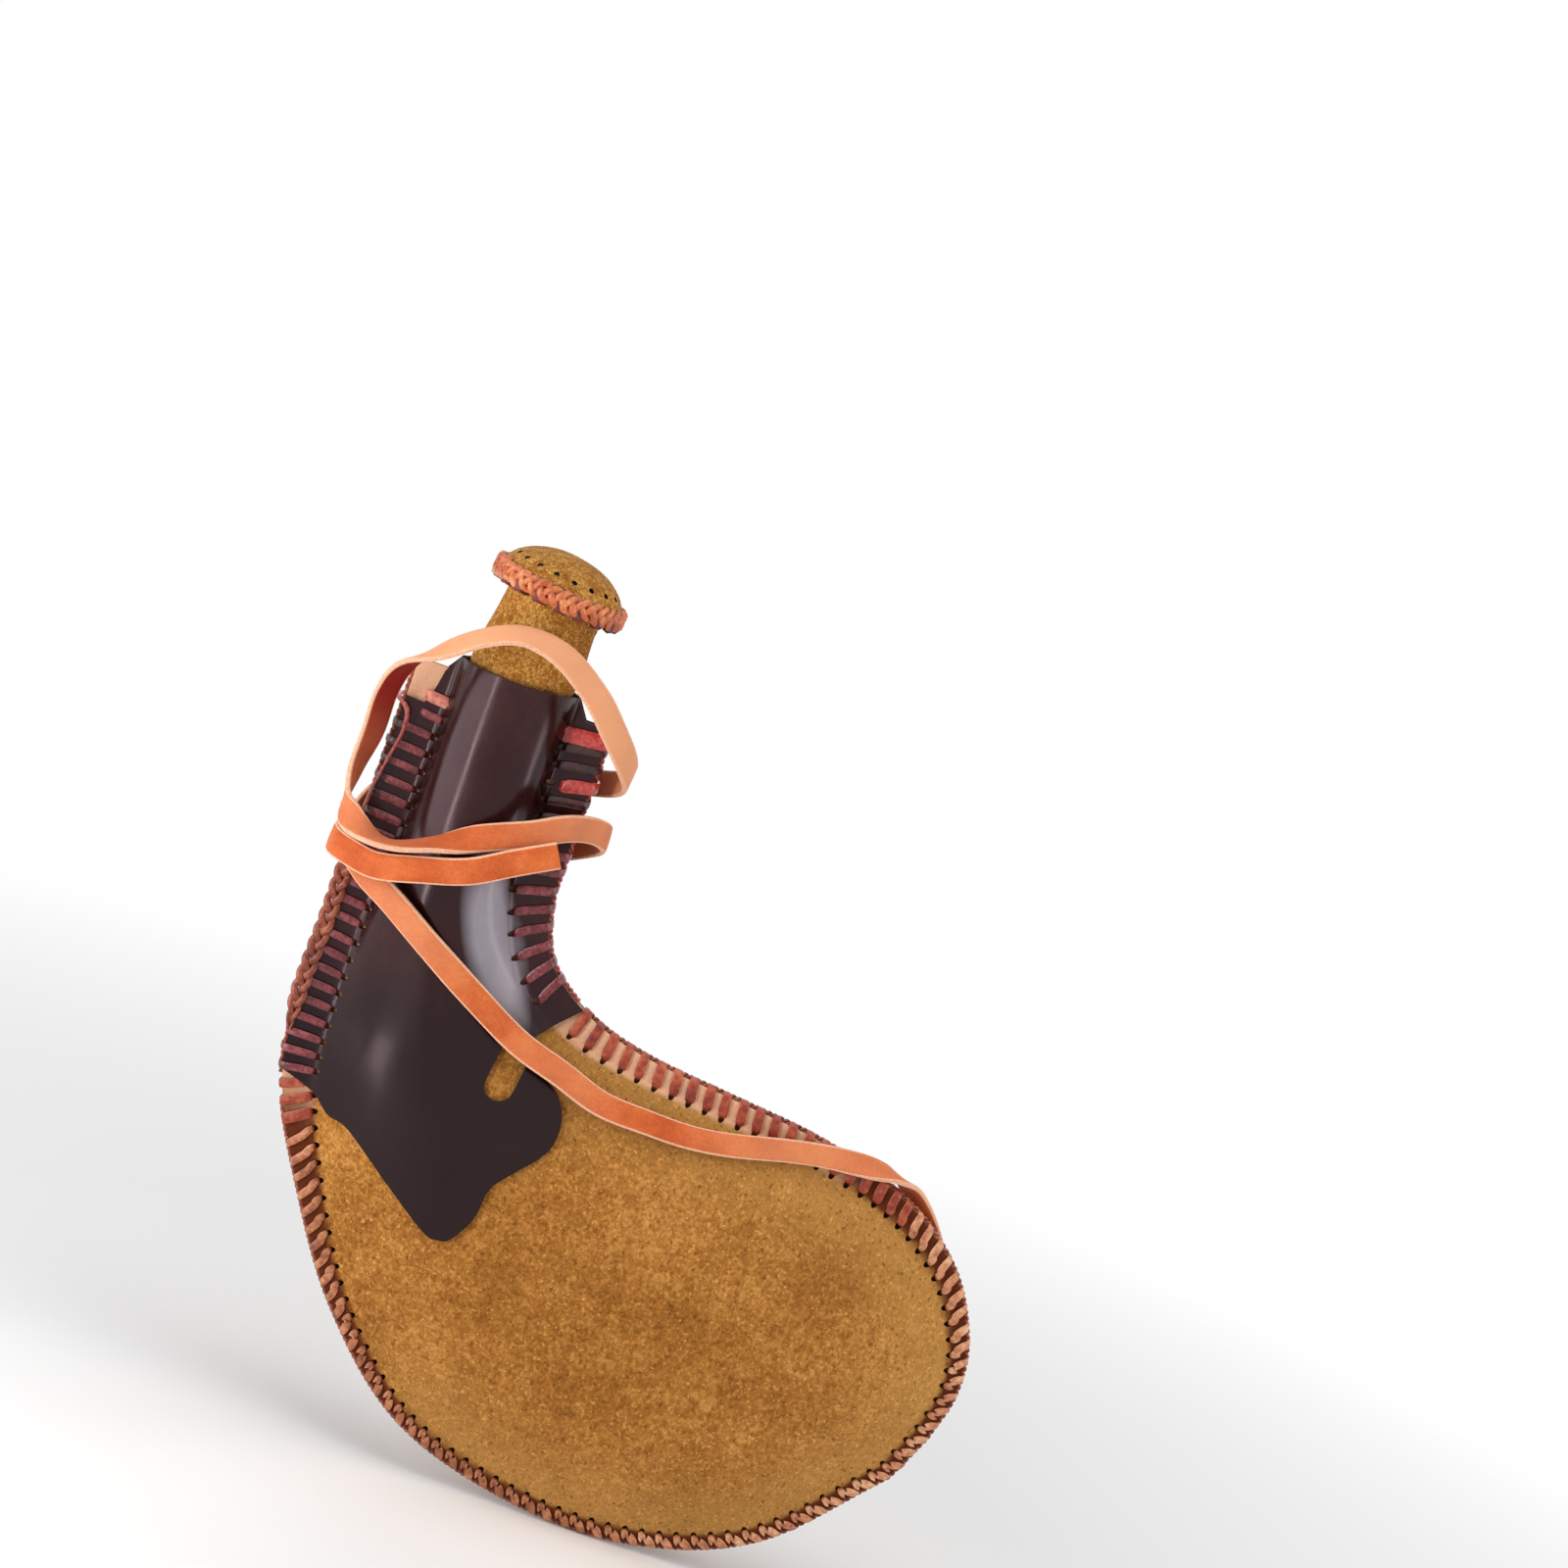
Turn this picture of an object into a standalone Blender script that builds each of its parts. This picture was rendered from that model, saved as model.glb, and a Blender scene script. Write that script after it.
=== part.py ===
"""A bota: a curved wine skin of two suede panels laced round their edge, with a leather-sleeved neck.

The neck's axis is +Z. The origin is on that axis at the neck's foot, where a hand holds the bag.
The front faces -Y, and the body hangs out to +X. All lengths are in metres.
"""

import math

import bmesh
import bpy
import numpy as np
from mathutils import Vector

MM = 0.001

# Running and lying clearances
GAP = 0.3 * MM
SEAM_GAP = 0.3 * MM
MERGE_DISTANCE = 0.0001 * MM

# Neck
MOUTH_Z = 150 * MM
BORE_R = 14.8 * MM
TUBE_WALL = 1.1 * MM
TUBE_LENGTH = 60 * MM
LIP_WIDTH = 1.7 * MM
LIP_HEIGHT = 2.4 * MM
NECK_FLANGE = 15.8 * MM

# Skin
SUEDE = 1.4 * MM
REACH = 207.2 * MM
RISE = 60 * MM
DROP = 103 * MM
BODY_DEPTH = 14 * MM
DOME_RUN = 48 * MM
DOME_POWER = 2.4
RIM_FLANGE = 8.5 * MM
PANEL_BELOW_MOUTH = 3 * MM
NECK_FOOT_Z = 90 * MM
NECK_ROWS = 6
ROWS_PER_SPAN = 3
COLUMNS = 12
WIDEST_FLANGE_SHARE = 0.36

# The body's cross rows, as (x, z, flange) of each end: x in shares of REACH, z in shares of
# RISE above the origin and of DROP below it, and the flange in shares of RIM_FLANGE.
RIGHT_ROW_SHARES = [
    (0.186, 1.170, 1.55),
    (0.273, 0.945, 1.25),
    (0.379, 0.838, 1.05),
    (0.524, 0.783, 1.00),
    (0.673, 0.723, 1.00),
    (0.823, 0.575, 0.95),
    (0.929, 0.308, 0.85),
    (0.987, -0.019, 0.72),
    (1.000, -0.194, 0.62),
    (0.982, -0.359, 0.58),
]
LEFT_ROW_SHARES = [
    (-0.154, 1.033, 1.50),
    (-0.157, 0.500, 1.42),
    (-0.140, 0.067, 1.32),
    (-0.065, -0.252, 0.95),
    (0.046, -0.583, 0.68),
    (0.200, -0.859, 0.60),
    (0.398, -0.983, 0.58),
    (0.601, -0.990, 0.58),
    (0.789, -0.850, 0.58),
    (0.948, -0.515, 0.58),
]

# Neck sleeve
SLEEVE_LEATHER = 1.3 * MM
SLEEVE_TOP = 1.8 * MM
SLEEVE_OVERRUN = 8 * MM
SLEEVE_EDGE_POINTS = 5
FLANGE_SHOULDER = 4.5 * MM
FLAP_REACH = 58.6 * MM
FLAP_DROP = 24 * MM
SLEEVE_FOOT_Z = 58.5 * MM

# The sleeve's lower edge past the right seam, round the flap to the left seam, as (x, z): x in shares
# of FLAP_REACH, z in shares of SLEEVE_FOOT_Z above the origin and of FLAP_DROP below it.
FLAP_SHARES = [
    (0.674, 0.752),
    (0.794, 0.641),
    (0.930, 0.538),
    (0.997, 0.427),
    (0.998, 0.291),
    (0.945, 0.190),
    (0.858, 0.092),
    (0.756, -0.112),
    (0.730, -0.546),
    (0.650, -0.920),
    (0.580, -1.000),
    (0.488, -0.954),
    (0.205, -0.500),
    (-0.068, -0.062),
    (-0.205, 0.003),
    (-0.322, 0.084),
    (-0.530, 0.154),
]
SLOT_LENGTH = 21 * MM
SLOT_WIDTH = 9.4 * MM
# The middle of the slot in shares of FLAP_REACH from the neck's axis
SLOT_SHARE = 0.6314
SLOT_Z = 31.5 * MM
SLOT_LEAN = math.radians(8)
SLOT_ARC_POINTS = 7

# Bladder
BLADDER_WALL = 1.0 * MM
BLADDER_INSET = 1.2 * MM
BLADDER_SIDE = 2.5 * MM
BLADDER_COLUMNS = 8
BLADDER_END_ROWS = 4

# Lacing
LACE_WIDTH = 3.0 * MM
LACE_THICKNESS = 0.9 * MM
LACE_PITCH = 5.8 * MM
LACE_CLEAR = 0.9 * MM
LACE_MARGIN = 1.2 * MM
NECK_LACE_MARGIN = 3.6 * MM
NECK_LACE_TOP = 8.5 * MM
LACE_TO_SLEEVE_FOOT = 2.5 * MM
RIM_LACE_TO_SLEEVE = 1.5 * MM
RIM_LACE_TAIL_Z = -3 * MM
LEFT_LACE_FOOT_Z = 9 * MM

# Stopper
STOPPER_DEPTH = 34 * MM
STOPPER_R = 14.5 * MM
STOPPER_TIP_R = 13.9 * MM
STOPPER_BULGE_R = 17.2 * MM
STOPPER_BULGE_RISE = 11 * MM
STOPPER_SHANK_R = 15.4 * MM
COVER_SUEDE = 1.1 * MM
CORE_R = 12.4 * MM
CAP_RISE = 30 * MM
CAP_OVERHANG = 6.8 * MM
CAP_HEIGHT = 14.5 * MM
HEAD_CLEAR = 0.9 * MM
CAP_SUEDE = 1.4 * MM
CAP_HOLES = 18
CAP_HOLE_WIDTH = 1.9 * MM
CAP_HOLE_SHARES = (0.46, 0.58)
CAP_ROW_SHARES = (0.0, 0.2, 0.34, 0.46, 0.58, 0.72, 0.86)
CAP_LACE_REACH = 4.2 * MM
CAP_LACE_WIDTH = 3.4 * MM
CAP_LACE_LIFT = 0.5 * MM
TURNED_STEPS = 36

# Strap and lace tail
STRAP_WIDTH = 9.3 * MM
STRAP_THICKNESS = 2.0 * MM
STRAP_STEP = 6 * MM
TAIL_R = 0.8 * MM
TAIL_SIDES = 8

# The strap's route, in millimetres, as (x, y, z, and the way its outer face looks). It starts behind
# the rim, crosses the front to the neck's left, and ends square on the front of the neck.
STRAP_ROUTE = [
    (192.5, 4.9, 9.6, 0.00, 1.00, 0.00),
    (187.2, 4.9, 17.1, 0.00, 1.00, 0.00),
    (183.3, 5.2, 24.8, 0.13, 0.98, 0.16),
    (178.5, 4.1, 32.9, 0.37, 0.71, 0.60),
    (171.5, 0.0, 37.5, 0.42, 0.00, 0.91),
    (163.5, -4.1, 39.8, 0.23, -0.71, 0.67),
    (154.6, -5.4, 40.1, 0.09, -0.94, 0.33),
    (145.8, -5.3, 39.6, 0.03, -0.99, 0.14),
    (130.5, -5.6, 37.2, 0.00, -0.99, 0.12),
    (111.5, -8.2, 31.5, 0.00, -0.92, 0.39),
    (98.0, -10.0, 28.4, 0.00, -0.92, 0.39),
    (84.5, -11.3, 27.8, 0.00, -0.93, 0.37),
    (68.5, -12.0, 29.5, 0.00, -0.92, 0.39),
    (53.1, -13.2, 36.4, 0.00, -0.93, 0.37),
    (37.0, -14.6, 44.6, 0.00, -0.96, 0.29),
    (18.0, -17.6, 55.2, 0.00, -0.99, 0.12),
    (1.2, -19.9, 65.3, -0.05, -0.99, -0.12),
    (-14.3, -18.6, 74.3, -0.33, -0.94, -0.08),
    (-26.1, -13.0, 79.6, -0.62, -0.78, 0.00),
    (-34.7, -4.0, 85.2, -0.96, -0.29, 0.00),
    (-35.4, 6.0, 92.6, -0.89, 0.45, 0.00),
    (-28.0, 16.6, 102.5, -0.51, 0.86, 0.00),
    (-9.5, 22.0, 111.5, -0.10, 1.00, 0.00),
    (12.5, 22.0, 119.0, 0.20, 0.98, 0.00),
    (29.0, 16.2, 124.5, 0.60, 0.80, 0.00),
    (39.5, 6.0, 129.0, 0.98, 0.20, 0.00),
    (42.5, -4.5, 133.6, 0.92, -0.37, 0.09),
    (39.7, -13.0, 139.5, 0.66, -0.75, 0.09),
    (33.4, -19.5, 147.3, 0.37, -0.92, 0.12),
    (24.6, -23.5, 156.6, 0.20, -0.93, 0.30),
    (11.5, -25.4, 165.1, 0.10, -0.80, 0.60),
    (-1.7, -25.6, 167.4, 0.00, -0.60, 0.80),
    (-13.2, -24.6, 163.0, -0.10, -0.55, 0.83),
    (-24.4, -22.0, 154.3, -0.25, -0.50, 0.83),
    (-33.9, -17.0, 146.1, -0.50, -0.12, 0.86),
    (-37.6, -11.5, 135.4, -0.80, 0.42, 0.43),
    (-37.8, -9.5, 121.4, -0.88, 0.44, 0.18),
    (-39.0, -10.5, 108.0, -0.97, 0.18, 0.15),
    (-37.8, -14.0, 97.9, -0.92, -0.05, 0.38),
    (-31.5, -20.5, 93.3, -0.62, -0.12, 0.78),
    (-20.9, -24.8, 92.1, -0.15, -0.10, 0.98),
    (-7.3, -24.2, 96.9, -0.10, -0.34, 0.93),
    (6.2, -22.2, 103.5, -0.10, -0.97, 0.20),
    (19.5, -21.2, 109.3, 0.10, -1.00, 0.00),
    (29.8, -18.2, 114.3, 0.42, -0.91, 0.00),
    (37.8, -9.5, 114.9, 0.87, -0.49, 0.00),
    (42.2, 1.5, 111.9, 1.00, 0.10, 0.00),
    (37.8, 11.5, 107.0, 0.66, 0.75, 0.00),
    (26.0, 18.8, 100.2, 0.29, 0.96, 0.00),
    (7.0, 22.0, 93.2, 0.00, 1.00, 0.00),
    (-13.0, 21.0, 87.2, -0.20, 0.98, 0.00),
    (-29.6, 16.8, 84.4, -0.66, 0.75, 0.00),
    (-38.6, 4.5, 84.9, -0.99, 0.12, 0.00),
    (-38.3, -7.0, 84.6, -0.92, -0.38, 0.10),
    (-31.8, -17.0, 84.4, -0.60, -0.80, 0.09),
    (-22.3, -22.6, 84.2, -0.22, -0.97, 0.10),
    (-9.2, -25.4, 88.0, 0.00, -1.00, 0.05),
    (5.2, -26.6, 92.7, 0.00, -1.00, 0.00),
    (17.4, -25.8, 99.7, 0.05, -1.00, 0.00),
    (29.8, -24.4, 106.5, 0.15, -0.99, 0.00),
]

# The left neck lace's free end, in millimetres.
TAIL_ROUTE = [
    (-25.0, 6.6, 139.0),
    (-29.0, 6.8, 141.5),
    (-33.7, 3.0, 142.6),
    (-34.5, -3.0, 140.0),
    (-31.0, -6.2, 134.0),
    (-29.3, -6.6, 126.0),
    (-31.0, -6.6, 116.0),
    (-32.1, -6.6, 106.0),
    (-32.9, -6.6, 97.0),
]

COLORS = {
    "suede": (0.49, 0.25, 0.05, 1.0),
    "stopper_suede": (0.55, 0.31, 0.08, 1.0),
    "smooth_leather": (0.026, 0.013, 0.017, 1.0),
    "neck_lace": (0.19, 0.013, 0.022, 1.0),
    "rim_lace": (0.30, 0.045, 0.015, 1.0),
    "cap_lace": (0.72, 0.20, 0.08, 1.0),
    "strap": (0.83, 0.22, 0.045, 1.0),
    "liner": (0.55, 0.50, 0.42, 1.0),
    "mouth_plastic": (0.66, 0.66, 0.62, 1.0),
    "wood": (0.50, 0.33, 0.18, 1.0),
}
ROUGHNESS = {"smooth_leather": 0.28, "neck_lace": 0.35, "rim_lace": 0.5, "mouth_plastic": 0.4}
DULL = 0.85

# Sizes that follow from the others: the neck's layers from the bore outwards, heights, the cap, the slot
TUBE_R = BORE_R + TUBE_WALL
SKIN_R = TUBE_R + GAP
SLEEVE_R = SKIN_R + SUEDE + GAP
SKIN_TO_SLEEVE = SUEDE + GAP
PANEL_TOP_Z = MOUTH_Z - PANEL_BELOW_MOUTH
TUBE_FOOT_Z = MOUTH_Z - TUBE_LENGTH
CAP_Z = MOUTH_Z + CAP_RISE
CAP_R = STOPPER_SHANK_R + CAP_OVERHANG
SLOT_X = SLOT_SHARE * FLAP_REACH


def reset_scene():
    """Empties the file and returns the collections of the parts and of the cutters."""
    for old in list(bpy.data.objects):
        bpy.data.objects.remove(old)
    collections = []
    for name in ("bota_bag", "cutters"):
        collection = bpy.data.collections.new(name)
        bpy.context.scene.collection.children.link(collection)
        collections.append(collection)
    return collections


PARTS, CUTTERS = reset_scene()


def material(slot):
    """The named finish, made once."""
    if slot not in bpy.data.materials:
        made = bpy.data.materials.new(slot)
        made.use_nodes = True
        shader = made.node_tree.nodes["Principled BSDF"]
        shader.inputs["Base Color"].default_value = COLORS[slot]
        shader.inputs["Roughness"].default_value = ROUGHNESS.get(slot, DULL)
        made.diffuse_color = COLORS[slot]
    return bpy.data.materials[slot]


def add_object(name, data, slot, parent=None):
    """A part from its mesh or curve, in the parts' collection."""
    part = bpy.data.objects.new(name, data)
    PARTS.objects.link(part)
    data.materials.append(material(slot))
    if parent:
        part.parent = parent
        part.matrix_parent_inverse = parent.matrix_world.inverted()
    return part


def mesh_from(name, bm):
    """Ends a bmesh as a smooth mesh with its outside out."""
    bmesh.ops.recalc_face_normals(bm, faces=bm.faces)
    mesh = bpy.data.meshes.new(name)
    bm.to_mesh(mesh)
    bm.free()
    mesh.shade_smooth()
    mesh.set_sharp_from_angle(angle=math.radians(40))
    return mesh


def catmull_rom(points, per_span, before=None):
    """Points on the smooth curve through the given ones, which it keeps."""
    p = np.array(points, float)
    ends = [2 * p[0] - p[1] if before is None else np.array(before), *p, 2 * p[-1] - p[-2]]
    found = []
    for a, b, c, d in zip(ends, ends[1:], ends[2:], ends[3:]):
        for k in range(per_span):
            t = k / per_span
            bend = (2 * a - 5 * b + 4 * c - d) * t**2
            twist = (3 * b - a - 3 * c + d) * t**3
            found.append((2 * b + (c - a) * t + bend + twist) / 2)
    return np.array(found + [p[-1]])


def neck_end(side, z):
    """A cross row's end on the straight neck, as (x, z, flange)."""
    return (side * (SKIN_R + NECK_FLANGE), z, NECK_FLANGE)


def body_end(x_share, z_share, flange_share):
    """A cross row's end on the body, as (x, z, flange)."""
    return (x_share * REACH, z_share * (RISE if z_share > 0 else DROP), flange_share * RIM_FLANGE)


def row_ends(top_z):
    """The right and left ends of the skin's cross rows, from the top of the neck down."""
    sides = []
    for side, shares in ((1, RIGHT_ROW_SHARES), (-1, LEFT_ROW_SHARES)):
        straight = [neck_end(side, z) for z in np.linspace(top_z, NECK_FOOT_Z, NECK_ROWS)]
        body = [straight[-1], *(body_end(*s) for s in shares)]
        sides.append(np.array([*straight[:-1], *catmull_rom(body, ROWS_PER_SPAN, straight[-2])]))
    return sides


RIGHT_ENDS, LEFT_ENDS = row_ends(MOUTH_Z + SLEEVE_OVERRUN)
OUTLINE = np.concatenate([RIGHT_ENDS, LEFT_ENDS[::-1]])


def nearest_on_outline(x, z):
    """The distance from a point of the seam's plane to the skin's edge, and the flange's width there."""
    a, b = OUTLINE[:-1], OUTLINE[1:]
    run = b[:, :2] - a[:, :2]
    to = np.array([x, z]) - a[:, :2]
    t = np.clip((to * run).sum(1) / (run * run).sum(1), 0, 1)
    away = np.linalg.norm(to - t[:, None] * run, axis=1)
    k = int(away.argmin())
    return away[k], a[k, 2] + t[k] * (b[k, 2] - a[k, 2])


def past_flange(x, z):
    """How far inside the flange's inner line a point is."""
    away, flange = nearest_on_outline(x, z)
    return away - flange


def neckness(z):
    """1 on the straight neck and 0 on the body, smoothly between."""
    high, low = NECK_FOOT_Z, RISE / 2
    t = min(max((z - low) / (high - low), 0), 1)
    return t * t * (3 - 2 * t)


def skin_height(x, z):
    """How far the skin's inner face stands off the seam's plane."""
    neck = neckness(z)
    run = neck * SKIN_R + (1 - neck) * DOME_RUN
    left = 1 - min(max(past_flange(x, z) / run, 0), 1)
    tube = SKIN_R * math.sqrt(1 - left**2)
    dome = BODY_DEPTH * (1 - left**DOME_POWER)
    return neck * tube + (1 - neck) * dome


def inner_share(start, end):
    """The share of a cross row that its flange takes at the start, by bisection."""
    low, high = 0.0, WIDEST_FLANGE_SHARE
    for _ in range(30):
        middle = (low + high) / 2
        x, z = start[:2] + middle * (end[:2] - start[:2])
        if past_flange(x, z) < 0:
            low = middle
        else:
            high = middle
    return high


def cross_row(start, end, columns):
    """Points of the seam's plane along a row: its edge, the flange's inner line, and on to the far edge."""
    first, last = inner_share(start, end), 1 - inner_share(end, start)
    between = [first + (last - first) * (1 - math.cos(math.pi * k / columns)) / 2 for k in range(columns + 1)]
    return [start[:2] + t * (end[:2] - start[:2]) for t in (0, *between, 1)]


def skin_grid(side, top_z):
    """The inner face of the front (side -1) or back (side 1) panel, as rows of points."""
    right, left = row_ends(top_z)
    rows = []
    for start, end in zip(right, left):
        row = cross_row(start, end, COLUMNS)
        rows.append([Vector((x, side * (SEAM_GAP / 2 + skin_height(x, z)), z)) for x, z in row])
    return rows


def offset_grid(rows, distance, outward):
    """The same rows, moved square off their surface by the distance."""
    moved = []
    for i, row in enumerate(rows):
        moved.append([])
        for j, point in enumerate(row):
            normals = []
            for di in (-1, 1):
                for dj in (-1, 1):
                    if 0 <= i + di < len(rows) and 0 <= j + dj < len(row):
                        normal = (rows[i + di][j] - point).cross(row[j + dj] - point) * di * dj
                        normals.append(normal.normalized() * outward)
            mean = sum(normals, Vector()).normalized()
            even = sum(mean.dot(n) for n in normals) / len(normals)
            moved[-1].append(point + mean * distance / even)
    return moved


def grid_mesh(rows):
    """An open mesh over rows of points."""
    bm = bmesh.new()
    verts = [[bm.verts.new(point) for point in row] for row in rows]
    for upper, lower in zip(verts, verts[1:]):
        for k in range(len(upper) - 1):
            bm.faces.new((upper[k], upper[k + 1], lower[k + 1], lower[k]))
    return bm


def add_shell(name, rows, side, thickness, slot):
    """A leather piece: the open surface over the rows, thickened away from the seam."""
    bm = grid_mesh(rows)
    bm.normal_update()
    if sum(f.normal.y * f.calc_area() for f in bm.faces) * side < 0:
        bmesh.ops.reverse_faces(bm, faces=bm.faces)
    mesh = bpy.data.meshes.new(name)
    bm.to_mesh(mesh)
    bm.free()
    part = add_object(name, mesh, slot)
    shell = part.modifiers.new("leather", "SOLIDIFY")
    shell.thickness = thickness
    shell.offset = 1
    shell.use_even_offset = True
    return part


def add_prism(name, outline, y_from, y_to):
    """A cutter: an outline of the seam's plane, drawn out along Y."""
    bm = bmesh.new()
    face = bm.faces.new([bm.verts.new((x, y_from, z)) for x, z in outline])
    drawn = bmesh.ops.extrude_face_region(bm, geom=[face])
    moved = [v for v in drawn["geom"] if isinstance(v, bmesh.types.BMVert)]
    bmesh.ops.translate(bm, verts=moved, vec=(0, y_to - y_from, 0))
    cutter = bpy.data.objects.new(name, mesh_from(name, bm))
    CUTTERS.objects.link(cutter)
    cutter.hide_render = True
    cutter.display_type = "WIRE"
    return cutter


def cut(part, cutter, operation):
    """A Boolean of the part with a cutter."""
    step = part.modifiers.new(cutter.name, "BOOLEAN")
    step.operation = operation
    step.object = cutter
    step.solver = "EXACT"


def build_panels():
    """The two suede panels: each a dome on the body, a half tube on the neck, and a flat flange round it."""
    for name, side in (("body_front_panel", -1), ("body_back_panel", 1)):
        add_shell(name, skin_grid(side, PANEL_TOP_Z), side, SUEDE, "suede")


def sleeve_outline():
    """The sleeve's cut shape: a straight top with dropped flange corners, and the lobed flap below."""
    flap = [
        (x * FLAP_REACH, z * (SLEEVE_FOOT_Z if z >= 0 else FLAP_DROP)) for x, z in FLAP_SHARES
    ]
    lobe = [tuple(p) for p in catmull_rom(flap, SLEEVE_EDGE_POINTS)]
    seam, inward, run, flange = on_outline(along_outline(1, SLEEVE_FOOT_Z))
    outer = SLEEVE_R + SLEEVE_LEATHER
    top_z = MOUTH_Z + SLEEVE_TOP
    shoulder_z = MOUTH_Z - FLANGE_SHOULDER
    edge_x = SKIN_R + NECK_FLANGE + SLEEVE_OVERRUN
    return [
        (outer + GAP, top_z),
        (outer + FLANGE_SHOULDER, shoulder_z),
        (edge_x, shoulder_z),
        (edge_x, NECK_FOOT_Z),
        (seam.x + SLEEVE_OVERRUN, seam.z + SLEEVE_OVERRUN),
        *lobe,
        (-edge_x, flap[-1][1]),
        (-edge_x, shoulder_z),
        (-outer - FLANGE_SHOULDER, shoulder_z),
        (-outer - GAP, top_z),
    ]


def slot_outline():
    """The oblong slot in the flap: two half circles on a leaning line."""
    half = (SLOT_LENGTH - SLOT_WIDTH) / 2
    points = []
    for turn in (0, math.pi):
        for k in range(SLOT_ARC_POINTS):
            angle = turn + math.pi * k / (SLOT_ARC_POINTS - 1)
            u = SLOT_WIDTH / 2 * math.cos(angle)
            v = SLOT_WIDTH / 2 * math.sin(angle) + (half if turn == 0 else -half)
            points.append((
                SLOT_X + u * math.cos(SLOT_LEAN) + v * math.sin(SLOT_LEAN),
                SLOT_Z - u * math.sin(SLOT_LEAN) + v * math.cos(SLOT_LEAN),
            ))
    return points


def build_sleeve():
    """The neck's smooth leather sleeve: a front with the slotted flap and a plain back, cut to one shape."""
    deep = SLEEVE_R * 2
    for name, side in (("neck_sleeve_front", -1), ("neck_sleeve_back", 1)):
        rows = skin_grid(side, MOUTH_Z + SLEEVE_OVERRUN)
        outward = side * math.copysign(1, (rows[1][1] - rows[0][1]).cross(rows[0][2] - rows[0][1]).y)
        rows = offset_grid(rows, SKIN_TO_SLEEVE, outward)
        part = add_shell(name, rows, side, SLEEVE_LEATHER, "smooth_leather")
        cut(part, add_prism(name + "_shape", sleeve_outline(), 0, side * deep), "INTERSECT")
        if side < 0:
            cut(part, add_prism("flap_slot", slot_outline(), 0, side * deep), "DIFFERENCE")


def add_turned(name, profile, slot, parent=None):
    """A turned piece from its closed profile of (radius, z), listed down the outside first."""
    bm = bmesh.new()
    verts = [bm.verts.new((r, 0, z)) for r, z in profile]
    for a, b in zip(verts, verts[1:] + verts[:1]):
        if a.co.x > 0 or b.co.x > 0:
            bm.edges.new((a, b))
    mesh = bpy.data.meshes.new(name)
    bm.to_mesh(mesh)
    bm.free()
    part = add_object(name, mesh, slot, parent)
    turn = part.modifiers.new("turn", "SCREW")
    turn.steps = TURNED_STEPS
    turn.render_steps = TURNED_STEPS
    turn.use_merge_vertices = True
    turn.merge_threshold = MERGE_DISTANCE
    turn.use_normal_calculate = False
    return part


def build_neck_tube():
    """The bladder's stiff neck, with a lip that lies over the suede's top edge."""
    lip_r = TUBE_R + LIP_WIDTH
    add_turned(
        "neck_tube",
        [
            (lip_r, MOUTH_Z),
            (lip_r, MOUTH_Z - LIP_HEIGHT),
            (TUBE_R, MOUTH_Z - LIP_HEIGHT),
            (TUBE_R, TUBE_FOOT_Z),
            (BORE_R, TUBE_FOOT_Z),
            (BORE_R, MOUTH_Z),
        ],
        "mouth_plastic",
    )


def bladder_ring(start, end, inset, lowered):
    """A closed ring of the bladder on a cross row, set in from the skin by the two distances."""
    length = np.linalg.norm(end[:2] - start[:2])
    first = inner_share(start, end) + inset / length
    last = 1 - inner_share(end, start) - inset / length
    ring = []
    for k in range(2 * BLADDER_COLUMNS):
        angle = math.pi * k / BLADDER_COLUMNS
        t = first + (last - first) * (1 - math.cos(angle)) / 2
        x, z = start[:2] + t * (end[:2] - start[:2])
        side = math.sin(angle)
        y = max(skin_height(x, z) - lowered, 0)
        ring.append(Vector((x, math.copysign(y, side) if abs(side) > 1e-9 else 0, z)))
    return ring


def build_bladder():
    """The bladder: a thin bag inside the skin, open where the neck tube meets it."""
    top = TUBE_FOOT_Z - GAP
    right, left = row_ends(top)
    first = NECK_ROWS - 1
    starts, ends = right[first:-BLADDER_END_ROWS], left[first:-BLADDER_END_ROWS]
    outer = [bladder_ring(a, b, BLADDER_INSET, GAP) for a, b in zip(starts, ends)]
    inner = [
        bladder_ring(a, b, BLADDER_INSET + BLADDER_SIDE, GAP + BLADDER_WALL)
        for a, b in zip(starts[:-1], ends[:-1])
    ]
    mouth = [Vector((TUBE_R * math.cos(a), TUBE_R * math.sin(a), top)) for a in ring_angles()]
    bore = [Vector((BORE_R * math.cos(a), BORE_R * math.sin(a), top)) for a in ring_angles()]
    outer[0], inner[0] = mouth, bore
    bm = bmesh.new()
    skins = []
    for rings in (outer, inner):
        verts = [[bm.verts.new(p) for p in ring] for ring in rings]
        for upper, lower in zip(verts, verts[1:]):
            for k in range(len(upper)):
                after = (k + 1) % len(upper)
                bm.faces.new((upper[k], upper[after], lower[after], lower[k]))
        bm.faces.new(verts[-1])
        skins.append(verts)
    for k in range(2 * BLADDER_COLUMNS):
        after = (k + 1) % (2 * BLADDER_COLUMNS)
        bm.faces.new((skins[0][0][k], skins[0][0][after], skins[1][0][after], skins[1][0][k]))
    add_object("bladder", mesh_from("bladder", bm), "liner")


def ring_angles():
    """The angles of a bladder ring's points round the neck, starting at +X towards +Y."""
    return [math.pi * k / BLADDER_COLUMNS for k in range(2 * BLADDER_COLUMNS)]


def arc_lengths(path):
    """How far along a path each of its points is."""
    steps = np.linalg.norm(np.diff(path[:, :2], axis=0), axis=1)
    return np.concatenate([[0], np.cumsum(steps)])


OUTLINE_AT = arc_lengths(OUTLINE)
RIGHT_COUNT = len(RIGHT_ENDS)


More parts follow.
